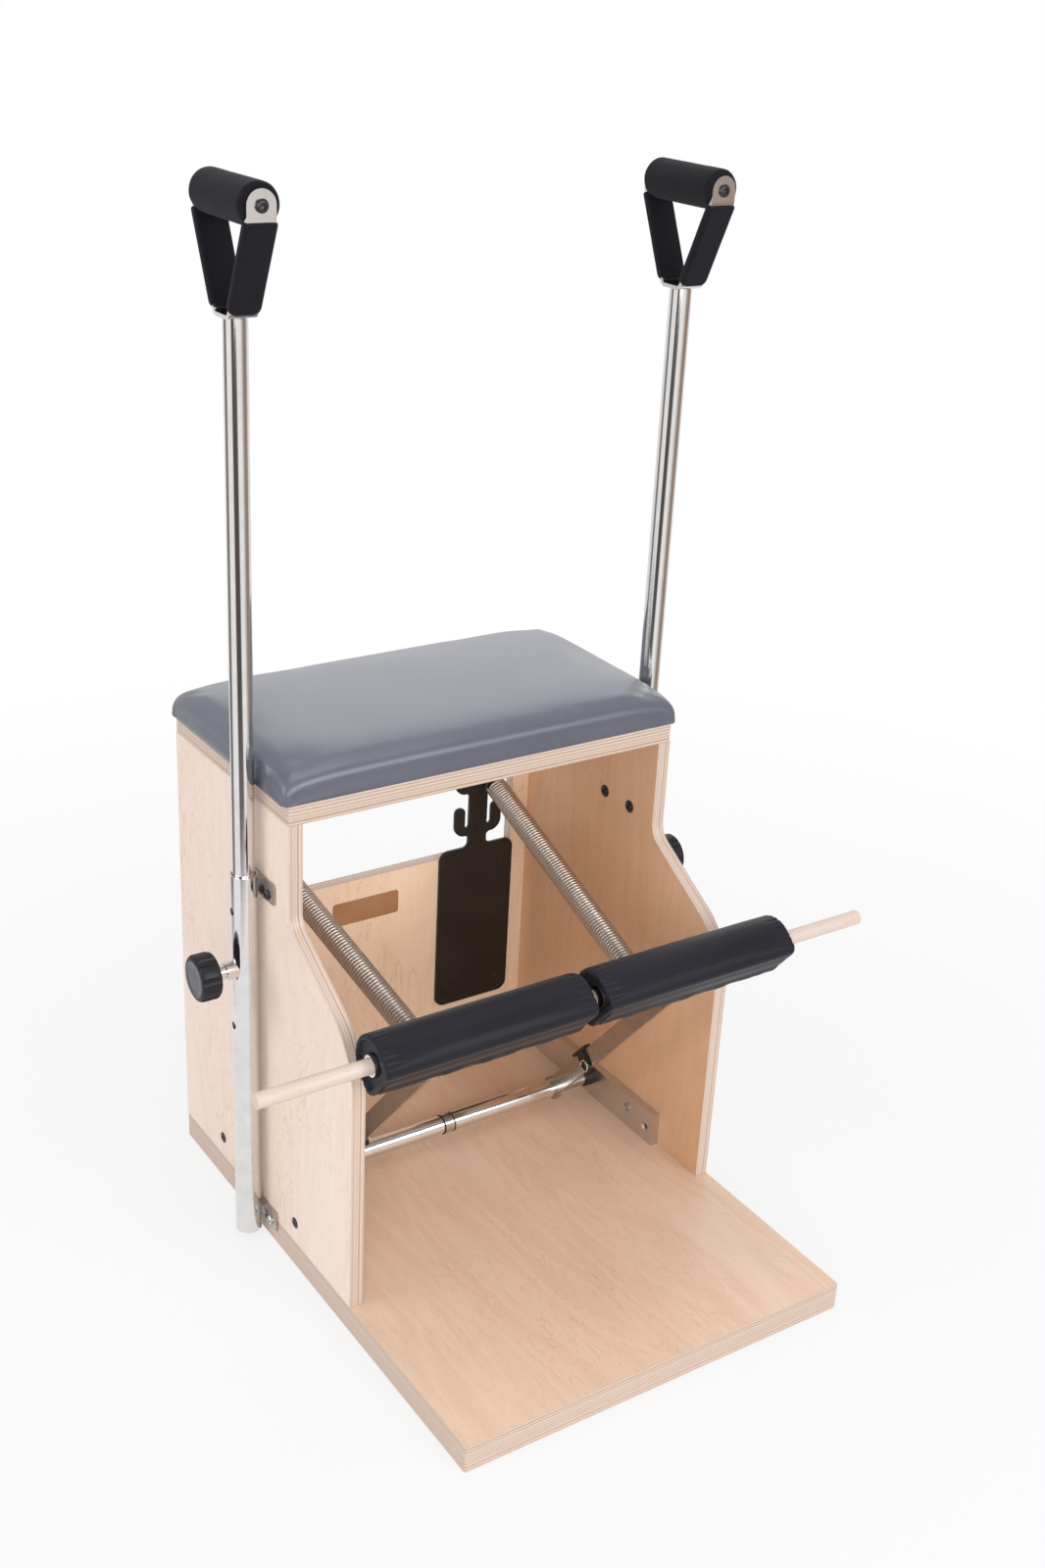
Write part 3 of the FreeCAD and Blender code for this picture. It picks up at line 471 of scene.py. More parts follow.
FOCAL_PIXELS = 1893.24
LONG_SIDE_PIXELS = 1600
CAMERA_RIGHT = Vector((0.83456, -0.54880, 0.04838))
CAMERA_UP = Vector((0.19037, 0.36967, 0.90945))
CAMERA_SPOT = (-1.1615, -1.6972, 1.5783)
FLOOR_REACH = 30.0
FLOOR_FADE = 2.2
FLOOR_GREY = (0.7, 0.7, 0.7, 1.0)
SKY_LIGHT, SKY_SHOWN = 0.43, 1.0
SKY_TINT = (1.0, 0.99, 0.98, 1.0)
CEILING_GREY = (0.4, 0.4, 0.4, 1.0)
# Colours that only mirror rays see round the object: painted reflections of dark and warm bands on the
# chrome
MIRROR_DARK_BAND = (0.1, 0.085, 0.078, 1.0)
MIRROR_WARM_BAND = (0.36, 0.27, 0.22, 1.0)
# Towards the photograph's side of the object, where the bearing is 0.5, and square to that
BANDS_AHEAD, BANDS_ASIDE = (-0.565, -0.825, 0.0), (0.825, -0.565, 0.0)
MIRROR_BANDS = (
    (0.0, 0.9), (0.19, 0.85), (0.215, 0.16), (0.26, 0.2), (0.29, 1.0), (0.395, 1.0), (0.425, MIRROR_DARK_BAND),
    (0.52, MIRROR_DARK_BAND), (0.55, 1.0), (0.63, 1.0), (0.72, MIRROR_WARM_BAND), (0.81, MIRROR_WARM_BAND), (0.85, 0.9),
    (1.0, 0.9),
)

camera = bpy.data.objects.new("camera", bpy.data.cameras.new("camera"))
bpy.context.scene.collection.objects.link(camera)
camera.data.sensor_width = 36.0
camera.data.lens = FOCAL_PIXELS / LONG_SIDE_PIXELS * camera.data.sensor_width
camera_turn = Matrix((CAMERA_RIGHT, CAMERA_UP, CAMERA_RIGHT.cross(CAMERA_UP))).transposed().to_4x4()
camera.matrix_world = Matrix.Translation(CAMERA_SPOT) @ camera_turn
bpy.context.scene.camera = camera
bpy.context.scene.view_settings.view_transform = "Standard"


def seen_directly(tree):
    """1 for camera, mirror and glass rays, which show a background, and the rays' outputs."""
    path = tree.nodes.new("ShaderNodeLightPath").outputs
    seen = calc(tree, "MAXIMUM", path["Is Camera Ray"], path["Is Glossy Ray"])
    return calc(tree, "MAXIMUM", seen, path["Is Transmission Ray"]), path


def painted_reflection_bands(tree, heading):
    """Painted reflections: bright, dark and warm bands round the object in the sky and the floor, which
    only mirror rays see.
    """
    def along(way):
        reach = add(tree, "VectorMath", output=1, operation="DOT_PRODUCT", Vector=heading)
        reach.node.inputs[1].default_value = way
        return reach

    turn = calc(tree, "ARCTAN2", along(BANDS_ASIDE), along(BANDS_AHEAD))
    bearing = calc(tree, "MULTIPLY_ADD", turn, 0.5 / pi, 0.5)
    return ramp(tree, bearing, *MIRROR_BANDS)


def make_floor():
    made, tree = new_material("pale_floor", Roughness=0.8, Base_Color=FLOOR_GREY)
    seen, path = seen_directly(tree)
    spot = add(tree, "TexCoord", output=3)
    away = add(tree, "VectorMath", output=1, operation="LENGTH", Vector=spot)
    away = calc(tree, "DIVIDE", away, FLOOR_FADE)
    far = ramp(tree, away, (0.4, 0.0), (0.62, 1.0))
    # The far floor shows mirror rays the painted reflection bands
    mirrored = mix(tree, far, WHITE, painted_reflection_bands(tree, spot))
    colour = mix(tree, path["Is Glossy Ray"], WHITE, mirrored)
    glow = add(tree, "Emission", Color=colour, Strength=1.0)
    white = ramp(tree, away, (0.3, 0.8), (0.95, 1.0))
    blend = tree.nodes.new("ShaderNodeMixShader")
    feed(tree, blend.inputs[0], calc(tree, "MULTIPLY", seen, white))
    feed(tree, blend.inputs[1], tree.nodes["Principled BSDF"].outputs[0])
    feed(tree, blend.inputs[2], glow)
    feed(tree, tree.nodes["Material Output"].inputs[0], blend.outputs[0])
    MATERIALS["pale_floor"] = made
    points = [(FLOOR_REACH * x, FLOOR_REACH * y, 0.0) for x, y in ((-1, -1), (1, -1), (1, 1), (-1, 1))]
    floor = made_object("floor", (points, [(0, 1, 2, 3)]), "pale_floor", smooth=False)


def make_sky():
    world = bpy.data.worlds.new("studio")
    bpy.context.scene.world = world
    world.use_nodes = True
    tree = world.node_tree
    tree.nodes.clear()
    seen, path = seen_directly(tree)
    heading = add(tree, "TexCoord", output=0)
    up = add(tree, "SeparateXYZ", output=2, Vector=heading)
    overhead = ramp(tree, up, (0.5, 0.0), (0.8, 1.0))
    # Mirror rays alone see the painted reflection bands, under a grey overhead
    shown = mix(tree, overhead, painted_reflection_bands(tree, heading), CEILING_GREY)
    shown = mix(tree, path["Is Glossy Ray"], WHITE, shown)
    colour = mix(tree, seen, SKY_TINT, shown)
    strength = calc(tree, "MULTIPLY_ADD", seen, SKY_SHOWN - SKY_LIGHT, SKY_LIGHT)
    background = add(tree, "Background", Color=colour, Strength=strength)
    feed(tree, tree.nodes.new("ShaderNodeOutputWorld").inputs[0], background)


def lamp(name, spot, target, width, height, power):
    light = bpy.data.lights.new(name, "AREA")
    light.shape = "RECTANGLE"
    light.size = width
    light.size_y = height
    light.energy = power
    obj = bpy.data.objects.new(name, light)
    bpy.context.scene.collection.objects.link(obj)
    obj.location = spot
    obj.rotation_euler = (Vector(target) - Vector(spot)).to_track_quat("-Z", "Y").to_euler()


make_floor()
make_sky()
lamp("key", (-1.8, -3.0, 1.5), (0, 0, 0.4), 2.0, 2.0, 50.0)
lamp("front", (1.0, -3.2, 2.1), (0, 0, 0.3), 2.0, 1.4, 58.0)
lamp("left", (-3.0, 0.6, 1.7), (0, 0, 0.4), 2.2, 2.0, 33.0)
lamp("back", (1.9, 2.7, 1.95), (0, 0.2, 0.65), 3.2, 1.5, 15.0)
lamp("top", (0.2, 0.2, 3.4), (0, 0, 0.4), 1.8, 1.8, 24.0)


# Coil springs

WIRE_RADIUS, WIRE_SIDES = 0.0024, 8
COIL_RADIUS, COIL_STEPS = 0.0136, 22
COIL_PITCH = 2 * WIRE_RADIUS * 1.012
SPRING_TOP = Vector((0.19225, 0.3505, 0.4727))
SPRING_PIN = Vector((0.160, -0.10119, 0.34801))

for side, sign in SIDES:
    top = Vector((SPRING_TOP.x * sign, SPRING_TOP.y, SPRING_TOP.z))
    pin = Vector((SPRING_PIN.x * sign, SPRING_PIN.y, SPRING_PIN.z))
    way = (pin - top).normalized()
    reaches = [(v.co - top).dot(way) for v in nodes[f"{side}_spring"].data.vertices]
    start, end = min(reaches) + WIRE_RADIUS, max(reaches) - WIRE_RADIUS
    first, second = frame_along(way)
    steps = int((end - start) / COIL_PITCH) * COIL_STEPS
    path = []
    for step in range(steps + 1):
        angle = 2 * pi * step / COIL_STEPS
        reach = start + (end - start) * step / steps
        path.append(top + way * reach + (first * cos(angle) + second * sin(angle)) * COIL_RADIUS)
    coil = made_object(f"{side}_spring_wire", tube_along(path, WIRE_RADIUS, WIRE_SIDES), "spring_steel")
    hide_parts(f"{side}_spring")
    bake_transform(coil)


# Padding under pressure

CLOTH = {
    "quality": 5, "tension_stiffness": 40.0, "compression_stiffness": 40.0, "shear_stiffness": 12.0,
    "bending_stiffness": 2.0, "use_pressure": True,
}


def swollen(obj, pinned, pressure, cap, frames):
    """Cloth under pressure, with each point kept within cap of where it began."""
    group = obj.vertex_groups.new(name="pinned")
    group.add(pinned, 1.0, "ADD")
    cloth = obj.modifiers.new("cloth", "CLOTH")
    for key, value in CLOTH.items():
        setattr(cloth.settings, key, value)
    cloth.settings.uniform_pressure_force = pressure
    cloth.settings.effector_weights.gravity = 0.0
    cloth.settings.vertex_group_mass = "pinned"
    cloth.collision_settings.use_collision = False
    cloth.point_cache.frame_start = 1
    cloth.point_cache.frame_end = frames
    for number in range(1, frames + 1):
        bpy.context.scene.frame_set(number)
    began = obj.data
    settled = bpy.data.meshes.new_from_object(obj.evaluated_get(bpy.context.evaluated_depsgraph_get()))
    for vertex, start in zip(settled.vertices, [v.co.copy() for v in began.vertices]):
        step = vertex.co - start
        if step.length > cap:
            vertex.co = start + step * (cap / step.length)
    obj.modifiers.clear()
    obj.data = settled
    bpy.data.meshes.remove(began)
    obj.vertex_groups.clear()
    bpy.context.scene.frame_set(1)


def smoothed(obj, rounds, hold):
    """Even out the points, apart from those that hold names."""
    work = bmesh.new()
    work.from_mesh(obj.data)
    free = [v for v in work.verts if not hold(v.co)]
    axes = {"use_axis_x": True, "use_axis_y": True, "use_axis_z": True}
    for _ in range(rounds):
        bmesh.ops.smooth_vert(work, verts=free, factor=0.5, **axes)
    work.to_mesh(obj.data)
    work.free()


def finished_soft(obj, finish, body, node):
    obj.data.polygons.foreach_set("use_smooth", [True] * len(obj.data.polygons))
    paint(obj, finish)
    subdivision = obj.modifiers.new("smooth", "SUBSURF")
    subdivision.levels = 1
    subdivision.render_levels = 1
    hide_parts(node)
    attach(obj, body)


# Seat cushion

SEAT_HEIGHT = 0.0470
SEAT_RIM, RIM_REACH = 0.0205, 0.0062
SEAT_ROUND = 0.011
OVERHANG = 0.0050
SEAT_STEP = 0.005
SEAT_EDGES = (0.0, 0.0008, 0.0018, 0.0030, 0.0044, 0.0060, 0.0080, 0.0105, 0.0135, 0.0170, 0.0210)
# Share of the side's height, and how far the cover is drawn in there
SEAT_LEVELS = (
    (0.0, 0.0035), (0.045, 0.0022), (0.15, 0.0012), (0.34, 0.0004), (0.56, 0.0), (0.76, 0.0), (0.91, 0.0),
)
# How far the top falls at a corner, and over what reach
CORNER_DROPS = ((0.0075, 0.018), (0.0055, 0.050))
SEAT_SHRINK = 0.0015
SEAT_PRESSURE, SEAT_CAP, SEAT_FRAMES = 4.0, 0.0030, 20
BOARD_TOUCH = 0.0008
RIM_ZONE = 0.03
TOP_ROUNDS, ALL_ROUNDS = 40, 3
WAVE, WAVE_SCALE, WAVE_SCALE_UP = 0.0004, 9.0, 14.0
POLE_LIMIT = 0.28605
DENT_SOFT, DENT_DEPTH = 0.008, 0.012
DENT_START, DENT_END = 0.010, 0.060

low_corner, high_corner = [Vector(corner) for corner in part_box("seat_cushion")]
seat_centre = (low_corner + high_corner) / 2
seat_centre.y += OVERHANG / 2
seat_half = (high_corner - low_corner) / 2 + Vector((OVERHANG, OVERHANG / 2, 0.0))
board_top = low_corner.z


def edge_weighted(half):
    """Places along one direction of the cushion, closer together near both edges."""
    inner = half - SEAT_EDGES[-1]
    count = int(2 * inner / SEAT_STEP)
    middle = [-inner + 2 * inner * step / count for step in range(1, count)]
    return [-half + s for s in SEAT_EDGES] + middle + [half - s for s in reversed(SEAT_EDGES)]


def rounded_plan(x, y, inset):
    """A point of the square plan moved onto the plan with round corners, and its distance inside."""
    half_x, half_y = seat_half.x - inset, seat_half.y - inset
    beyond_x, beyond_y = abs(x) - half_x + SEAT_ROUND, abs(y) - half_y + SEAT_ROUND
    inside = min(half_x - abs(x), half_y - abs(y))
    if beyond_x > 0 and beyond_y > 0:
        reach = max(beyond_x, beyond_y)
        angle = pi / 4 * (beyond_y / beyond_x if beyond_x >= beyond_y else 2 - beyond_x / beyond_y)
        x = copysign(half_x - SEAT_ROUND + reach * cos(angle), x)
        y = copysign(half_y - SEAT_ROUND + reach * sin(angle), y)
    return x, y, inside


def crown(x, y, inside):
    """Height of the top at a point of the plan and its distance inside the edge."""
    fall = SEAT_RIM / (1 + inside / RIM_REACH) * (1 - (inside / seat_half.y) ** 2)
    from_corner = hypot(seat_half.x - abs(x), seat_half.y - abs(y))
    return SEAT_HEIGHT - fall - sum(drop * bell(from_corner, 0.0, reach) for drop, reach in CORNER_DROPS)


def cushion_form():
    """A closed form: crowned top, sides drawn in towards the board, flat underside."""
    columns, rows = edge_weighted(seat_half.x), edge_weighted(seat_half.y)
    across, deep = len(columns), len(rows)
    points, faces = [], []

    def sheet(inset, under):
        start = len(points)
        for y in rows:
            for x in columns:
                shrink_x, shrink_y = 1 - inset / seat_half.x, 1 - inset / seat_half.y
                px, py, inside = rounded_plan(x * shrink_x, y * shrink_y, inset)
                z = 0.0 if under else crown(px, py, max(inside, 0.0))
                points.append((seat_centre.x + px, seat_centre.y + py, board_top + z))
        for j in range(deep - 1):
            for i in range(across - 1):
                k = start + j * across + i
                face = (k, k + 1, k + across + 1, k + across)
                faces.append(face[::-1] if under else face)
        return start

    def border(start):
        grid = [[start + j * across + i for i in range(across)] for j in range(deep)]
        east, west = [row[-1] for row in grid[1:]], [row[0] for row in grid[-2:0:-1]]
        return grid[0] + east + grid[-1][-2::-1] + west

    top = border(sheet(0.0, False))
    bottom = border(sheet(SEAT_LEVELS[0][1], True))
    loops = [bottom]
    for level, inset in SEAT_LEVELS[1:]:
        loop = []
        for index in top:
            x, y, z = points[index]
            way = Vector((x - seat_centre.x, y - seat_centre.y))
            px, py = way.x * (1 - inset / seat_half.x), way.y * (1 - inset / seat_half.y)
            loop.append(len(points))
            points.append((seat_centre.x + px, seat_centre.y + py, board_top + (z - board_top) * level))
        loops.append(loop)
    loops.append(top)
    for low, high in zip(loops, loops[1:]):
        for i in range(len(low)):
            j = (i + 1) % len(low)
            faces.append((low[i], low[j], high[j], high[i]))
    return points, faces


def on_board(spot):
    return spot.z < board_top + BOARD_TOUCH


def near_rim(spot):
    inside_x = seat_half.x - abs(spot.x - seat_centre.x)
    inside_y = seat_half.y - abs(spot.y - seat_centre.y)
    return min(inside_x, inside_y) < RIM_ZONE


cushion = made_object("seat_cover", cushion_form(), "seat_vinyl")
for vertex, normal in zip(cushion.data.vertices, [v.normal.copy() for v in cushion.data.vertices]):
    if not on_board(vertex.co):
        vertex.co -= normal * SEAT_SHRINK
held = [v.index for v in cushion.data.vertices if on_board(v.co)]
swollen(cushion, held, SEAT_PRESSURE, SEAT_CAP, SEAT_FRAMES)
smoothed(cushion, TOP_ROUNDS, near_rim)
smoothed(cushion, ALL_ROUNDS, on_board)
for vertex in cushion.data.vertices:
    spot = vertex.co
    if on_board(spot):
        continue
    wave = WAVE * ripple(spot.x * WAVE_SCALE, spot.y * WAVE_SCALE, spot.z * WAVE_SCALE_UP)
    spot.z += wave
    spot.y -= wave
    # The cover gives way to each pole in a soft dent
    clear = smoothstep(DENT_START, DENT_END, abs(spot.y - POLE_Y))
    room = POLE_LIMIT + DENT_DEPTH * clear
    over = abs(spot.x) - (room - DENT_SOFT)
    if over > 0:
        spot.x = copysign(room - DENT_SOFT * exp(-over / DENT_SOFT), spot.x)
finished_soft(cushion, "seat_vinyl", "frame", "seat_cushion")


# Pedal pads

PEDAL_REACH = 0.470
PAD_AXIS = AXLE + ALONG_ARM * PEDAL_REACH
PAD_INNER, PAD_OUTER = 0.008, 0.295
PAD_LENGTH = PAD_OUTER - PAD_INNER
PAD_RADIUS, PAD_FLAT, PAD_CORNER = 0.0365, 0.028, 0.012
SIDE_STEPS, CORNER_STEPS, ROUND_STEPS = 14, 10, 72
PAD_STEP = 0.0055
PAD_STATIONS = (0.006, 0.008, 0.010, 0.0122, 0.0145, 0.017, 0.020, 0.0235, 0.0275, 0.032, 0.037, 0.042)
PAD_PRESSURE, PAD_CAP, PAD_FRAMES = 3.0, 0.0014, 12
TUBE_RADIUS, BORE_DEPTH = 0.0131, 0.020
RIM_WIDTH, RECESS_DEPTH = 0.0072, 0.005
RECESS_INSET, RECESS_SHARES = RIM_WIDTH + 0.0006, (0.0, 0.35, 0.7)
# Depth from the end's face, and how far inside the outline
RIM_PROFILE = (
    (RECESS_DEPTH, RECESS_INSET), (RECESS_DEPTH - 0.0012, RIM_WIDTH), (0.0022, 0.0064), (0.0008, 0.0052),
    (0.0, 0.0036), (0.0004, 0.0020), (0.0018, 0.0007), (0.0040, 0.0),
)
# What the simulation holds: the flat, both ends and the ground about the bore
HELD_FLAT, HELD_END, HELD_BORE = -0.0275, 0.009, TUBE_RADIUS + 0.004
DETAIL_BORE = TUBE_RADIUS + 0.012
PLEATS, PLEAT_POWER, PLEAT_DRIFT = 15.0, 1.6, 1.6
PLEAT_MEAN, PLEAT_SPREAD, PLEAT_LEAST = 0.62, 0.9, 0.12
GATHER, GATHER_START, GATHER_END = 0.0024, 0.003, 0.030
GATHER_LOW, GATHER_HIGH, GATHER_FLAT = -0.026, -0.012, 0.25
SLACK, SLACK_SCALE, SLACK_ROUND = 0.00035, 16.0, 26.0
INNER_SEED, OUTER_SEED = 3.0, 11.0


def pad_outline():
    """Points (a, b) round the D-shaped section with their outward ways, from mid flat."""
    flat_half, side = PAD_RADIUS - PAD_CORNER, PAD_FLAT - PAD_CORNER

    def line(start, end, out):
        (a, b), (end_a, end_b) = start, end
        shares = [step / SIDE_STEPS for step in range(SIDE_STEPS)]
        return [(a + (end_a - a) * t, b + (end_b - b) * t, *out) for t in shares]

    def arc(a, b, radius, start, sweep, count):
        spots = []
        for step in range(count):
            angle = start + sweep * step / count
            out_a, out_b = cos(angle), sin(angle)
            spots.append((a + radius * out_a, b + radius * out_b, out_a, out_b))
        return spots

    quarter = pi / 2
    spots = line((0.0, -PAD_FLAT), (flat_half, -PAD_FLAT), (0.0, -1.0))
    spots += arc(flat_half, -side, PAD_CORNER, -quarter, quarter, CORNER_STEPS)
    spots += line((PAD_RADIUS, -side), (PAD_RADIUS, 0.0), (1.0, 0.0))
    spots += arc(0.0, 0.0, PAD_RADIUS, 0.0, pi, ROUND_STEPS)
    spots += line((-PAD_RADIUS, 0.0), (-PAD_RADIUS, -side), (-1.0, 0.0))
    spots += arc(-flat_half, -side, PAD_CORNER, pi, quarter, CORNER_STEPS)
    return spots + line((-flat_half, -PAD_FLAT), (0.0, -PAD_FLAT), (0.0, -1.0))


PAD_OUTLINE = pad_outline()


def pad_rings():
    """Rings from the inner end's bore over the outside to the outer end's bore."""
    def circle_ring(x, radius):
        ways = [(a, b, hypot(a, b)) for a, b, _, _ in PAD_OUTLINE]
        return [(x, a / far * radius, b / far * radius) for a, b, far in ways]

    def inset_ring(x, inset):
        return [(x, a - out_a * inset, b - out_b * inset) for a, b, out_a, out_b in PAD_OUTLINE]

    def spread_ring(x, share):
        near, far = circle_ring(x, TUBE_RADIUS), inset_ring(x, RECESS_INSET)
        return [(x, p[1] + (q[1] - p[1]) * share, p[2] + (q[2] - p[2]) * share) for p, q in zip(near, far)]

    def end_rings(face, inward):
        rings = [circle_ring(face + inward * BORE_DEPTH, TUBE_RADIUS)]
        rings += [spread_ring(face + inward * RECESS_DEPTH, share) for share in RECESS_SHARES]
        rings += [inset_ring(face + inward * depth, inset) for depth, inset in RIM_PROFILE]
        return rings + [inset_ring(face + inward * s, 0.0) for s in PAD_STATIONS]

    reach = PAD_LENGTH - 2 * PAD_STATIONS[-1]
    count = int(reach / PAD_STEP)
    middle = [PAD_INNER + PAD_STATIONS[-1] + reach * step / count for step in range(1, count)]
    rings = end_rings(PAD_INNER, 1.0)
    rings += [inset_ring(x, 0.0) for x in middle]
    return rings + list(reversed(end_rings(PAD_OUTER, -1.0)))


def left_pad_place(x, a, b):
    return PAD_AXIS - X_AXIS * x + ALONG_ARM * a + ACROSS_ARM * b


def from_pad_end(x):
    return min(x - PAD_INNER, PAD_OUTER - x)


def pleat(a, b, seed):
    """Depth of the gathers round an end, from 0 on a crest to 1 in a fold."""
    angle = atan2(b, a)
    way = Vector((cos(angle), sin(angle), 0.0))
    drift = PLEAT_DRIFT * noise.noise(way * 1.9 + Z_AXIS * seed)
    depth = PLEAT_MEAN + PLEAT_SPREAD * noise.noise(way * 2.6 + Z_AXIS * (seed + 4.0))
    return max(depth, PLEAT_LEAST) * (1.0 - abs(sin(angle * PLEATS + drift))) ** PLEAT_POWER


def pad_detail(x, a, b):
    """How far a point of the cover is pulled in by the gathers at its end and by slack."""
    seed = INNER_SEED if x < (PAD_INNER + PAD_OUTER) / 2 else OUTER_SEED
    rounded = GATHER_FLAT + (1.0 - GATHER_FLAT) * smoothstep(GATHER_LOW, GATHER_HIGH, b)
    gather = pleat(a, b, seed) * (1.0 - smoothstep(GATHER_START, GATHER_END, from_pad_end(x))) * rounded
    slack = ripple(x * SLACK_SCALE, a * SLACK_ROUND, b * SLACK_ROUND + seed)
    return GATHER * gather + SLACK * slack


FLAP_START, FLAP_FOLD, FLAP_END = 0.0235, -0.0085, -0.0200
FLAP_THICKNESS, FLAP_MARGIN, FLAP_SUNK = 0.0010, 0.006, 0.0004
FLAP_STEPS, FLAP_STATIONS = 34, 120
FLAP_RISE, FLAP_RISE_END = 0.0016, 0.3
FOLD_DEPTH, FOLD_WIDTH = 0.0011, 0.0013
TORN, TORN_SCALE = 0.0030, 26.0
FRAY, FRAY_SCALE = 0.0016, 170.0
LOOSE_LEAST, LOOSE, LOOSE_SCALE = 0.0008, 0.0024, 38.0
TAB, TAB_PLACE, TAB_WIDTH = 0.0030, 0.42, 0.07
FLAP_SEED = 2.0


def flap_part():
    """The cover's cut edge lying on the pad's underside, ragged and a little loose."""
    rings = []
    for station in range(FLAP_STATIONS + 1):
        share = station / FLAP_STATIONS
        x = PAD_INNER + FLAP_MARGIN + (PAD_LENGTH - 2 * FLAP_MARGIN) * share
        torn = TORN * ripple(x * TORN_SCALE, FLAP_SEED, 0.0)
        fray = FRAY * ripple(x * FRAY_SCALE, FLAP_SEED, 5.0)
        loose = LOOSE_LEAST + LOOSE * max(ripple(x * LOOSE_SCALE, FLAP_SEED, 9.0) + 0.2, 0.0)
        end = FLAP_END - torn - fray - TAB * bell(share, TAB_PLACE, TAB_WIDTH)
        outer, inner = [], []
        for step in range(FLAP_STEPS):
            t = step / (FLAP_STEPS - 1)
            a = FLAP_START + (end - FLAP_START) * t
            b = -PAD_FLAT + FLAP_SUNK - FLAP_RISE * smoothstep(0.0, FLAP_RISE_END, t)
            b += FOLD_DEPTH * bell(a, FLAP_FOLD, FOLD_WIDTH)
            if a < FLAP_FOLD:
                b -= loose * smoothstep(FLAP_FOLD, end, a)
            outer.append((x, a, b))
            inner.append((x, a, b + FLAP_THICKNESS))
        rings.append(outer + inner[::-1])
    return skin(rings)


# The left pad is formed, and both covers are made from it
ring_points, pad_faces = skin(pad_rings(), loop=True)
form = made_object("pad_form", ([left_pad_place(*p) for p in ring_points], pad_faces), "pad_vinyl")
held = [
    index for index, (x, a, b) in enumerate(ring_points)
    if b < HELD_FLAT or from_pad_end(x) < HELD_END or hypot(a, b) < HELD_BORE
]
swollen(form, held, PAD_PRESSURE, PAD_CAP, PAD_FRAMES)
for index, (x, a, b) in enumerate(ring_points):
    out_a, out_b = PAD_OUTLINE[index % len(PAD_OUTLINE)][2:]
    if hypot(a, b) > DETAIL_BORE:
        inward = ALONG_ARM * -out_a + ACROSS_ARM * -out_b
        form.data.vertices[index].co += inward * pad_detail(x, a, b)
body = ([v.co.copy() for v in form.data.vertices], [tuple(p.vertices) for p in form.data.polygons])
flap_points, flap_faces = flap_part()
points, faces = joined_parts([body, ([left_pad_place(*p) for p in flap_points], flap_faces)])
bpy.data.objects.remove(form)
for side, sign in SIDES:
    placed = [(x * -sign, y, z) for x, y, z in points]
    cover = made_object(f"{side}_pad_cover", (placed, faces), "pad_vinyl")
    finished_soft(cover, "pad_vinyl", f"{side}_pedal", f"{side}_pedal_pad")


# Handle foam

GRIP_RADIUS, GRIP_BORE = 0.0242, 0.0091
GRIP_EDGE, EDGE_STEPS, GRIP_ROWS = 0.0042, 5, 22
# Distance inside the grip's end, and radius
GRIP_MOUTH = (
    (0.012, GRIP_BORE), (0.0006, GRIP_BORE), (0.0, GRIP_BORE + 0.0012), (-0.0001, 0.0135),
    (0.0, GRIP_RADIUS - GRIP_EDGE),
)
GRIP_AROUND = 64
GRIP_RIPPLE, RIPPLE_FROM, GRIP_SCALE, GRIP_SCALE_ALONG = 0.00035, 0.02, 2.2, 34.0
STRAP_MIDDLE = POLE_TOP + 0.00225
FOOT_HALF, KNEE_HALF, KNEE_Z = 0.017, 0.064, 1.308
LEG_HALF_WIDTH, LEG_HALF_THICK, LEG_ROUND = 0.0195, 0.00585, 0.0045
LEG_STEPS, WIDE_STEPS, THICK_STEPS = 6, 10, 2
LEG_START, LEG_TOP_GAP, LEG_GRIP_GAP = 0.0048, 0.0022, 0.0003
FOOT_ROUND, LEG_EDGE = 0.0085, 0.0024
FOOT_ROWS = (0.0, 0.0004, 0.0014, 0.0028, 0.0048, 0.0066, FOOT_ROUND)
LEG_ROWS, LEG_ROWS_END = 18, 0.004
TOP_ROWS = (LEG_EDGE, 0.0011, 0.0003, 0.0)
LEG_RIPPLE, LEG_SCALE, LEG_SCALE_ALONG = 0.00025, 60.0, 40.0


def grip_profile():
    """Rings from one bore's mouth over the outside to the other, as (y, radius)."""
    end = [(-GRIP_HALF + inside, radius) for inside, radius in GRIP_MOUTH]
    for step in range(1, EDGE_STEPS + 1):
        t = pi / 2 * step / EDGE_STEPS
        y = -GRIP_HALF + GRIP_EDGE * (1 - cos(t))
        end.append((y, GRIP_RADIUS - GRIP_EDGE * (1 - sin(t))))
    reach = 2 * GRIP_HALF - 2 * GRIP_EDGE
    start = -GRIP_HALF + GRIP_EDGE
    middle = [(start + reach * step / GRIP_ROWS, GRIP_RADIUS) for step in range(1, GRIP_ROWS)]
    return end + middle + [(-y, radius) for y, radius in reversed(end)]


def grip_part(sign):
    rings = []
    for y, radius in grip_profile():
        centre = Vector((POLE_X * sign, POLE_Y + y, GRIP_Z))
        ring = []
        for k in range(GRIP_AROUND):
            angle = 2 * pi * k / GRIP_AROUND
            way = Vector((cos(angle), 0.0, sin(angle)))
            rough = ripple(way.x * GRIP_SCALE, y * GRIP_SCALE_ALONG, way.z * GRIP_SCALE + sign)
            grown = radius + (GRIP_RIPPLE * rough if radius > RIPPLE_FROM else 0.0)
            ring.append(centre + way * grown)
        rings.append(ring)
    return skin(rings, loop=True)


def leg_outline(narrow):
    """Rounded rectangle of the leg's section, its half width cut by narrow."""
    arcs = corner_arcs(LEG_HALF_WIDTH - narrow, LEG_HALF_THICK, LEG_ROUND, LEG_STEPS)
    spots = []
    for corner, arc in enumerate(arcs):
        spots += arc
        (x, y), (next_x, next_y) = arc[-1], arcs[(corner + 1) % len(arcs)][0]
        steps = THICK_STEPS if corner % 2 else WIDE_STEPS
        for step in range(1, steps):
            share = step / steps
            spots.append((x + (next_x - x) * share, y + (next_y - y) * share))
    return spots


def rounded_off(radius, depth):
    """How far a round edge stands back at a depth from its end."""
    if depth >= radius:
        return 0.0
    return radius - sqrt(max(radius ** 2 - (radius - depth) ** 2, 0.0))


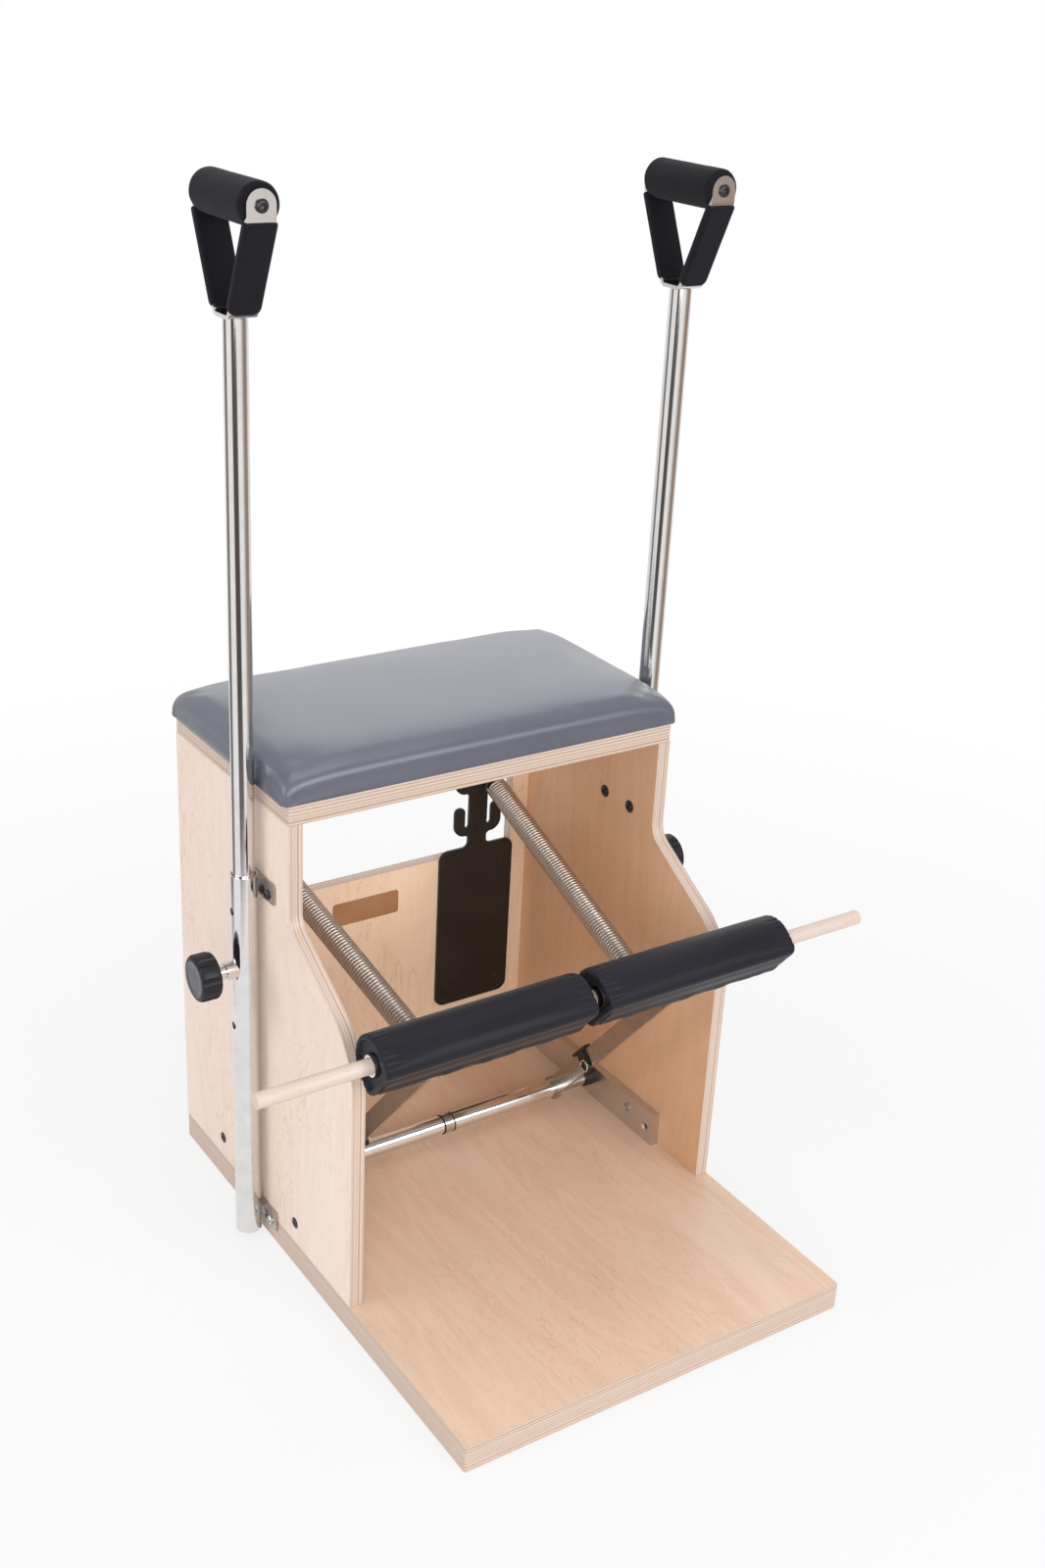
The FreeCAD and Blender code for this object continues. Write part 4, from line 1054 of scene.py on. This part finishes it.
def leg_part(sign, way):
    foot = Vector((POLE_X * sign, POLE_Y + way * FOOT_HALF, STRAP_MIDDLE))
    knee = Vector((POLE_X * sign, POLE_Y + way * KNEE_HALF, KNEE_Z))
    leg = (knee - foot).normalized()
    out = leg.cross(X_AXIS).normalized()
    top = (knee - foot).length - LEG_TOP_GAP - LEG_START
    reach = top - FOOT_ROUND - LEG_ROWS_END
    stations = list(FOOT_ROWS)
    stations += [FOOT_ROUND + reach * step / LEG_ROWS for step in range(1, LEG_ROWS + 1)]
    stations += [top - s for s in TOP_ROWS]
    clear = GRIP_RADIUS + LEG_GRIP_GAP
    rings = []
    for s in stations:
        thin = rounded_off(LEG_EDGE, min(s, top - s))
        shrink_x, shrink_y = 1.0 - thin / LEG_HALF_WIDTH, 1.0 - thin / LEG_HALF_THICK
        ring = []
        for x, y in leg_outline(rounded_off(FOOT_ROUND, s)):
            rough = LEG_RIPPLE * ripple(x * LEG_SCALE, s * LEG_SCALE_ALONG, y * LEG_SCALE + sign + way)
            spot = foot + leg * (LEG_START + s) + X_AXIS * (x * shrink_x) + out * (y * shrink_y + rough)
            from_grip = Vector((spot.x - POLE_X * sign, 0.0, spot.z - GRIP_Z))
            if abs(spot.y - POLE_Y) < GRIP_HALF and from_grip.length < clear:
                drop = sqrt(clear ** 2 - from_grip.x ** 2)
                spot -= leg * ((spot.z - (GRIP_Z - drop)) / leg.z)
            ring.append(spot)
        rings.append(ring)
    return skin(rings)


for side, sign in SIDES:
    grip = made_object(f"{side}_grip_foam", grip_part(sign), "black_foam")
    finished_soft(grip, "black_foam", f"{side}_handle", f"{side}_grip")
    form = joined_parts([leg_part(sign, way) for way in (-1, 1)])
    legs = made_object(f"{side}_leg_sleeves", form, "black_foam")
    finished_soft(legs, "black_foam", f"{side}_handle", f"{side}_leg_foam")


# Bolt and screw heads

HEAD_AROUND, HEAD_SHARP = 36, radians(32.0)
DOME_STEPS = 5
KEY_SIDES = 6
CROSS_ARM, CROSS_NOTCH = 0.2, 0.36
SHANK_SIDES = 20
BAND_AROUND = 40


def head(seat, out, radius, height, key, depth, dome, cross_turn=None):
    """A domed head standing on its seat, with a six-sided socket, or a cross turned by cross_turn."""
    def socket(angle):
        if cross_turn is None:
            sector = 2 * pi / KEY_SIDES
            return key / cos(angle % sector - sector / 2)
        fourth = (angle + cross_turn + pi / 4) % (pi / 2) - pi / 4
        return key * (1.0 if abs(fourth) < CROSS_ARM else CROSS_NOTCH)

    rim = key * 1.22
    side_height = height - dome
    profile = [(radius, 0.0), (radius, side_height * 0.92), (radius * 0.985, side_height)]
    for step in range(1, DOME_STEPS):
        share = step / DOME_STEPS
        profile.append((radius + (rim - radius) * share, side_height + dome * sin(pi / 2 * share)))
    profile += [(rim, height), (lambda angle: socket(angle) * 1.05, height), (socket, height - 0.0003)]
    profile += [(socket, height - depth), (lambda angle: socket(angle) * 0.4, height - depth - 0.0004)]
    return turned(seat, out, profile, HEAD_AROUND)


def shank(start, end, radius):
    return tube_along([start, start.lerp(end, 0.5), end], radius, SHANK_SIDES)


def ring_band(centre, out, inner, outer, height):
    """A washer with rounded edges."""
    profile = [(inner, 0.0), (outer, 0.0), (outer, height * 0.6), (outer - height * 0.4, height)]
    profile += [(inner + height * 0.4, height), (inner, height * 0.6)]
    return turned(centre, out, profile, BAND_AROUND, loop=True)


def fastened(name, parts, finish, body, node=None, sharp=HEAD_SHARP):
    made = made_object(name, joined_parts(parts), finish)
    if sharp:
        made.data.set_sharp_from_angle(angle=sharp)
    if node:
        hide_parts(node)
    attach(made, body)


# A head is a radius, height, half width of its key, depth of its socket and height of its dome
# A washer is an inner radius, an outer radius and a height
HALF_WIDTH, PANEL_INNER, BRACKET_INNER = 0.280, 0.262, 0.250
BRACKET_BOLT_YS, BRACKET_BOLT_Z = (0.0425, 0.257), 0.0665
BRACKET_HEAD = (0.0075, 0.0015, 0.0028, 0.0009, 0.0009)
INNER_HEAD = (0.0072, 0.0024, 0.0028, 0.0016, 0.0018)
BRACKET_SHANK = 0.004
parts = []
inner_parts = []
for _, sign in SIDES:
    for y in BRACKET_BOLT_YS:
        outer = Vector((HALF_WIDTH * sign, y, BRACKET_BOLT_Z))
        inner = Vector((BRACKET_INNER * sign, y, BRACKET_BOLT_Z))
        parts.append(head(outer, X_AXIS * sign, *BRACKET_HEAD))
        parts.append(shank(inner, outer, BRACKET_SHANK))
        inner_parts.append(head(inner, X_AXIS * -sign, *INNER_HEAD))
fastened("bracket_bolt_heads", parts, "black_bolts", "frame", "bracket_bolts")
fastened("bracket_inner_heads", inner_parts, "zinc_screws", "frame")

SADDLE_FACE, BOLT_REACH = 0.283, 0.0285
UPPER_BOLT_Z, LOWER_SCREW_Z = 0.513, 0.0285
SADDLE_HEAD = (0.0065, 0.0035, 0.0025, 0.002, 0.0022)
SADDLE_WASHER = (0.0032, 0.0088, 0.0009)
SADDLE_SHANK, SCREW_LENGTH = 0.003, 0.030
upper = []
lower = []
for _, sign in SIDES:
    for way in (-1, 1):
        y = POLE_Y + way * BOLT_REACH
        outer = Vector((SADDLE_FACE * sign, y, UPPER_BOLT_Z))
        inner = Vector((PANEL_INNER * sign, y, UPPER_BOLT_Z))
        upper.append(head(outer, X_AXIS * sign, *SADDLE_HEAD))
        upper.append(ring_band(inner, X_AXIS * -sign, *SADDLE_WASHER))
        upper.append(head(inner, X_AXIS * -sign, *SADDLE_HEAD))
        upper.append(shank(inner, outer, SADDLE_SHANK))
        outer = Vector((SADDLE_FACE * sign, y, LOWER_SCREW_Z))
        lower.append(head(outer, X_AXIS * sign, *SADDLE_HEAD))
        lower.append(shank(outer - X_AXIS * (SCREW_LENGTH * sign), outer, SADDLE_SHANK))
fastened("saddle_bolt_heads", upper, "black_bolts", "frame", "saddle_bolts")
fastened("saddle_screw_heads", lower, "zinc_screws", "frame", "saddle_screws")

TREE_X, TREE_FRONT, TREE_REACH = 0.1735, 0.3485, 0.0415
# Height, and the turn of the cross, which also differs from left to right
TREE_SCREWS, TREE_TURN = ((0.140, 0.3), (0.3355, 1.1)), 20.0
TREE_HEAD = (0.0032, 0.0012, 0.0017, 0.0008, 0.0008)
TREE_SHANK, TREE_SCREW_LENGTH = 0.0025, 0.0177
parts = []
for _, sign in SIDES:
    for x in (-TREE_REACH, TREE_REACH):
        for z, turn in TREE_SCREWS:
            spot = Vector((TREE_X * sign + x, TREE_FRONT, z))
            parts.append(head(spot, -Y_AXIS, *TREE_HEAD, cross_turn=turn + x * TREE_TURN))
            parts.append(shank(spot, spot + Y_AXIS * TREE_SCREW_LENGTH, TREE_SHANK))
fastened("tree_screw_heads", parts, "black_bolts", "frame", "tree_screws")

STRAP_OUTER = GRIP_HALF + 0.0045
GRIP_HEAD = (0.0075, 0.0035, 0.003, 0.0024, 0.0018)
GRIP_SHANK, GRIP_BOLT_LENGTH = 0.004, 0.024
for side, sign in SIDES:
    parts = []
    for way in (-1, 1):
        seat = Vector((POLE_X * sign, POLE_Y + way * STRAP_OUTER, GRIP_Z))
        parts.append(head(seat, Y_AXIS * way, *GRIP_HEAD))
        parts.append(shank(seat - Y_AXIS * (GRIP_BOLT_LENGTH * way), seat, GRIP_SHANK))
    handle, node = f"{side}_handle", f"{side}_grip_bolts"
    fastened(f"{side}_grip_bolt_heads", parts, "black_bolts", handle, node)


# Clip bolts, knob faces and the rear plate

CLIP_REACH, CLIP_OFFSET, CLIP_FACE = 0.118, -0.0073, 0.174
CLIP_RING = (0.0068, 0.0088, 0.0026)
CLIP_HEAD = (0.0067, 0.0036, 0.0024, 0.0018, 0.002)
for side, sign in SIDES:
    spot = AXLE + ALONG_ARM * CLIP_REACH + ACROSS_ARM * CLIP_OFFSET + X_AXIS * (CLIP_FACE * sign)
    ring = ring_band(spot, X_AXIS * -sign, *CLIP_RING)
    bolt = head(spot, X_AXIS * -sign, *CLIP_HEAD)
    fastened(f"{side}_clip_ring", [ring], "chrome", f"{side}_pedal")
    fastened(f"{side}_clip_bolt", [bolt], "black_bolts", f"{side}_pedal")

KNOB_REACH, KNOB_Z, KNOB_AROUND = 0.0685, 0.404, 64
# Radius, and height above the knob's face
KNOB_PROFILE = (
    (0.0238, -0.0008), (0.0238, 0.0002), (0.0233, 0.0006), (0.0222, 0.0007), (0.0214, 0.0003),
    (0.012, 0.0006), (0.002, 0.0007),
)
for side, sign in SIDES:
    centre = Vector(((POLE_X + KNOB_REACH) * sign, POLE_Y, KNOB_Z))
    face = turned(centre, X_AXIS * sign, KNOB_PROFILE, KNOB_AROUND)
    fastened(f"{side}_knob_face", [face], "knob_face", f"{side}_clamp_knob", sharp=None)

PLATE_X, PLATE_Y, PLATE_Z = -0.009, 0.3525, 0.308
PLATE_WIDE, PLATE_TALL = 0.053, 0.018
PLATE_ROUND, PLATE_STEPS, PLATE_SHARP = 0.0045, 8, radians(35.0)
# How far inside the outline, and height above the panel
PLATE_PROFILE = ((0.0, 0.0), (0.0, 0.001), (0.0004, 0.0014), (0.001, 0.0015))
rings = []
for inset, level in PLATE_PROFILE:
    arcs = corner_arcs(PLATE_WIDE - inset, PLATE_TALL - inset, PLATE_ROUND - inset, PLATE_STEPS)
    rings.append([(PLATE_X + x, PLATE_Y - level, PLATE_Z + z) for arc in arcs for x, z in arc])
fastened("rear_plate", [skin(rings)], "plate_face", "frame", sharp=PLATE_SHARP)
